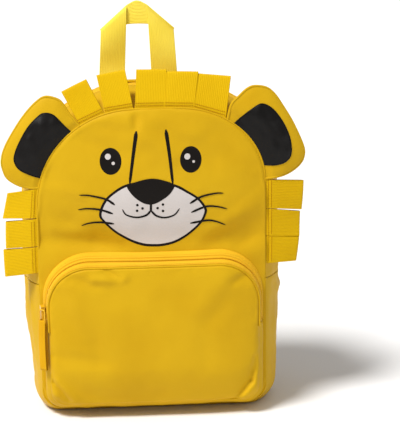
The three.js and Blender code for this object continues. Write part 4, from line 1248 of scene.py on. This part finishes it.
for side, lead in (("right", 1), ("left", -1)):
    route = []
    for spread, thick, out, down in strap_rows:
        x = strap_top_spacing / 2 + strap_spread * spread
        z = panel_top - strap_top_drop - strap_drop * down
        face = back_seam + seam_gap + back_padding + back_crown * (1 - seam_share(x, z) ** 2.6)
        route.append(Vector((lead * x, face + strap_thickness * thick + strap_stand_off * out, z)))
    route = [2 * route[0] - route[1], *route, 2 * route[-1] - route[-2]]
    line = []
    for i in range(1, len(route) - 2):
        line += [curve_part(*route[i - 1:i + 3], k / strap_steps) for k in range(strap_steps)]
    line.append(route[-2])
    points = []
    edges = {-1: [], 1: []}
    stitches = {-1: [], 1: []}
    for i, at in enumerate(line):
        share = i / (len(line) - 1)
        along = (line[min(i + 1, len(line) - 1)] - line[max(i - 1, 0)]).normalized()
        across = (Vector((1, 0, 0)) - along * along.x).normalized()
        facing = across.cross(along)
        end = smooth(share, 0.85, 1)
        half = (strap_width + (strap_end_width - strap_width) * end) / 2
        thick = strap_thickness / 2 * (1 - 0.6 * end) * (0.55 + 0.45 * smooth(share, 0, 0.08))
        for k in range(strap_ring):
            turn = 2 * pi * k / strap_ring
            wide, high = half * boxy(cos(turn), 0.35), thick * boxy(sin(turn), 0.7)
            high *= 1 - 0.35 * exp(-((abs(wide) - half + strap_stitch_inset) / 1.5) ** 2)
            high += 0.3 * ruffle(wide, i * 2, high, 12, 14)
            points.append(tuple(at + across * wide + facing * high))
        for edge in (-1, 1):
            edges[edge].append(tuple(at + across * edge * (half - binding_inset)))
            stitches[edge].append(tuple(at + across * edge * (half - strap_stitch_inset)
                                        - facing * thick * 0.66))
    strap = make_piece(f"shoulder_strap_{side}_padding", points, tube_faces(len(line), strap_ring),
                       back_cloth, f"shoulder_strap_{side}")
    for edge, hand in ((-1, "a"), (1, "b")):
        tube_along(f"strap_{side}_binding_{hand}", edges[edge], binding_radius, webbing_cloth,
                   flat=0.8)
        stitch_row(f"strap_{side}_stitches_{hand}", stitches[edge], thread, "back_padding",
                   **back_stitches)
    bevelled_copy(f"strap_buckle_{side}", f"buckle_{side}", lacquer, 0.6)

# The webbing that runs from the foot of the bag to the buckles, and the ribbon of the main
# zip's pull: narrow webbing in the frame's own shapes, with softened edges.
upright_webbing = cloth_material("hanging_webbing", (0.70, 0.43, 0.003), (0.64, 0.375, 0.002),
                                 weave=1.6, rough=0.52, sheen=0.35, bump=0.9, wrinkle=0.02)
for node, name in (("strap_webbing_right", "lower_webbing_right"),
                   ("strap_webbing_left", "lower_webbing_left"), ("main_zip_pull", "main_pull_ribbon")):
    bevelled_copy(node, name, upright_webbing, 0.3)

# The pocket's pull: a wire loop on the slider, and a narrow ribbon folded double through it.
# It is turned to the side, so that it hangs clear of the pocket.
pull_low, pull_high = (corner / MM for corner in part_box("pocket_zip_pull"))
pull_middle = (pull_low + pull_high) / 2
pull_turn = radians(50)
pull_across = Vector((-sin(pull_turn), cos(pull_turn), 0))
pull_facing = Vector((-cos(pull_turn), -sin(pull_turn), 0))
pull_half_width = 4
pull_gap = 1.8
pull_ribs = 6
# The ribbon is coloured a darker orange than the other webbing. This is painted shade, standing in for the
# shade on its face, which is turned away from the light.
pull_webbing_painted_shade = webbing_material("ribbon_with_painted_shade", (0.68, 0.36, 0.006), (0.58, 0.28, 0.004))
rows = []
for layer, shares in ((1, rising), (-1, falling)):
    for down in shares:
        gap = layer * pull_gap * (0.5 + 0.5 * sin(pi * down))
        at = Vector((pull_middle.x, pull_middle.y, pull_high.z + (pull_low.z - pull_high.z) * down))
        rows.append((at + pull_across * pull_half_width + pull_facing * gap,
                     at - pull_across * pull_half_width + pull_facing * gap, layer * pull_facing, 0.3))
webbing_strip("pocket_pull_ribbon", rows, pull_ribs, 2 * pull_half_width, "pocket_zip_pull",
              pull_webbing_painted_shade, wall=0.5)
loop_height, loop_half = 13, 3.4
wire_radius = 0.7
loop_steps = 40
loop_middle = Vector((pull_middle.x, pull_middle.y, pull_high.z + loop_height / 2 - 2.5))
wire = []
for i in range(loop_steps):
    turn = 2 * pi * i / loop_steps
    wire.append(loop_middle + Vector((0, 0, loop_height / 2 * boxy(sin(turn), 0.4)))
                + pull_across * loop_half * boxy(cos(turn), 0.4) + pull_facing * 0.4)
tube_along("pocket_pull_wire", wire, wire_radius, lacquer, closed=True)
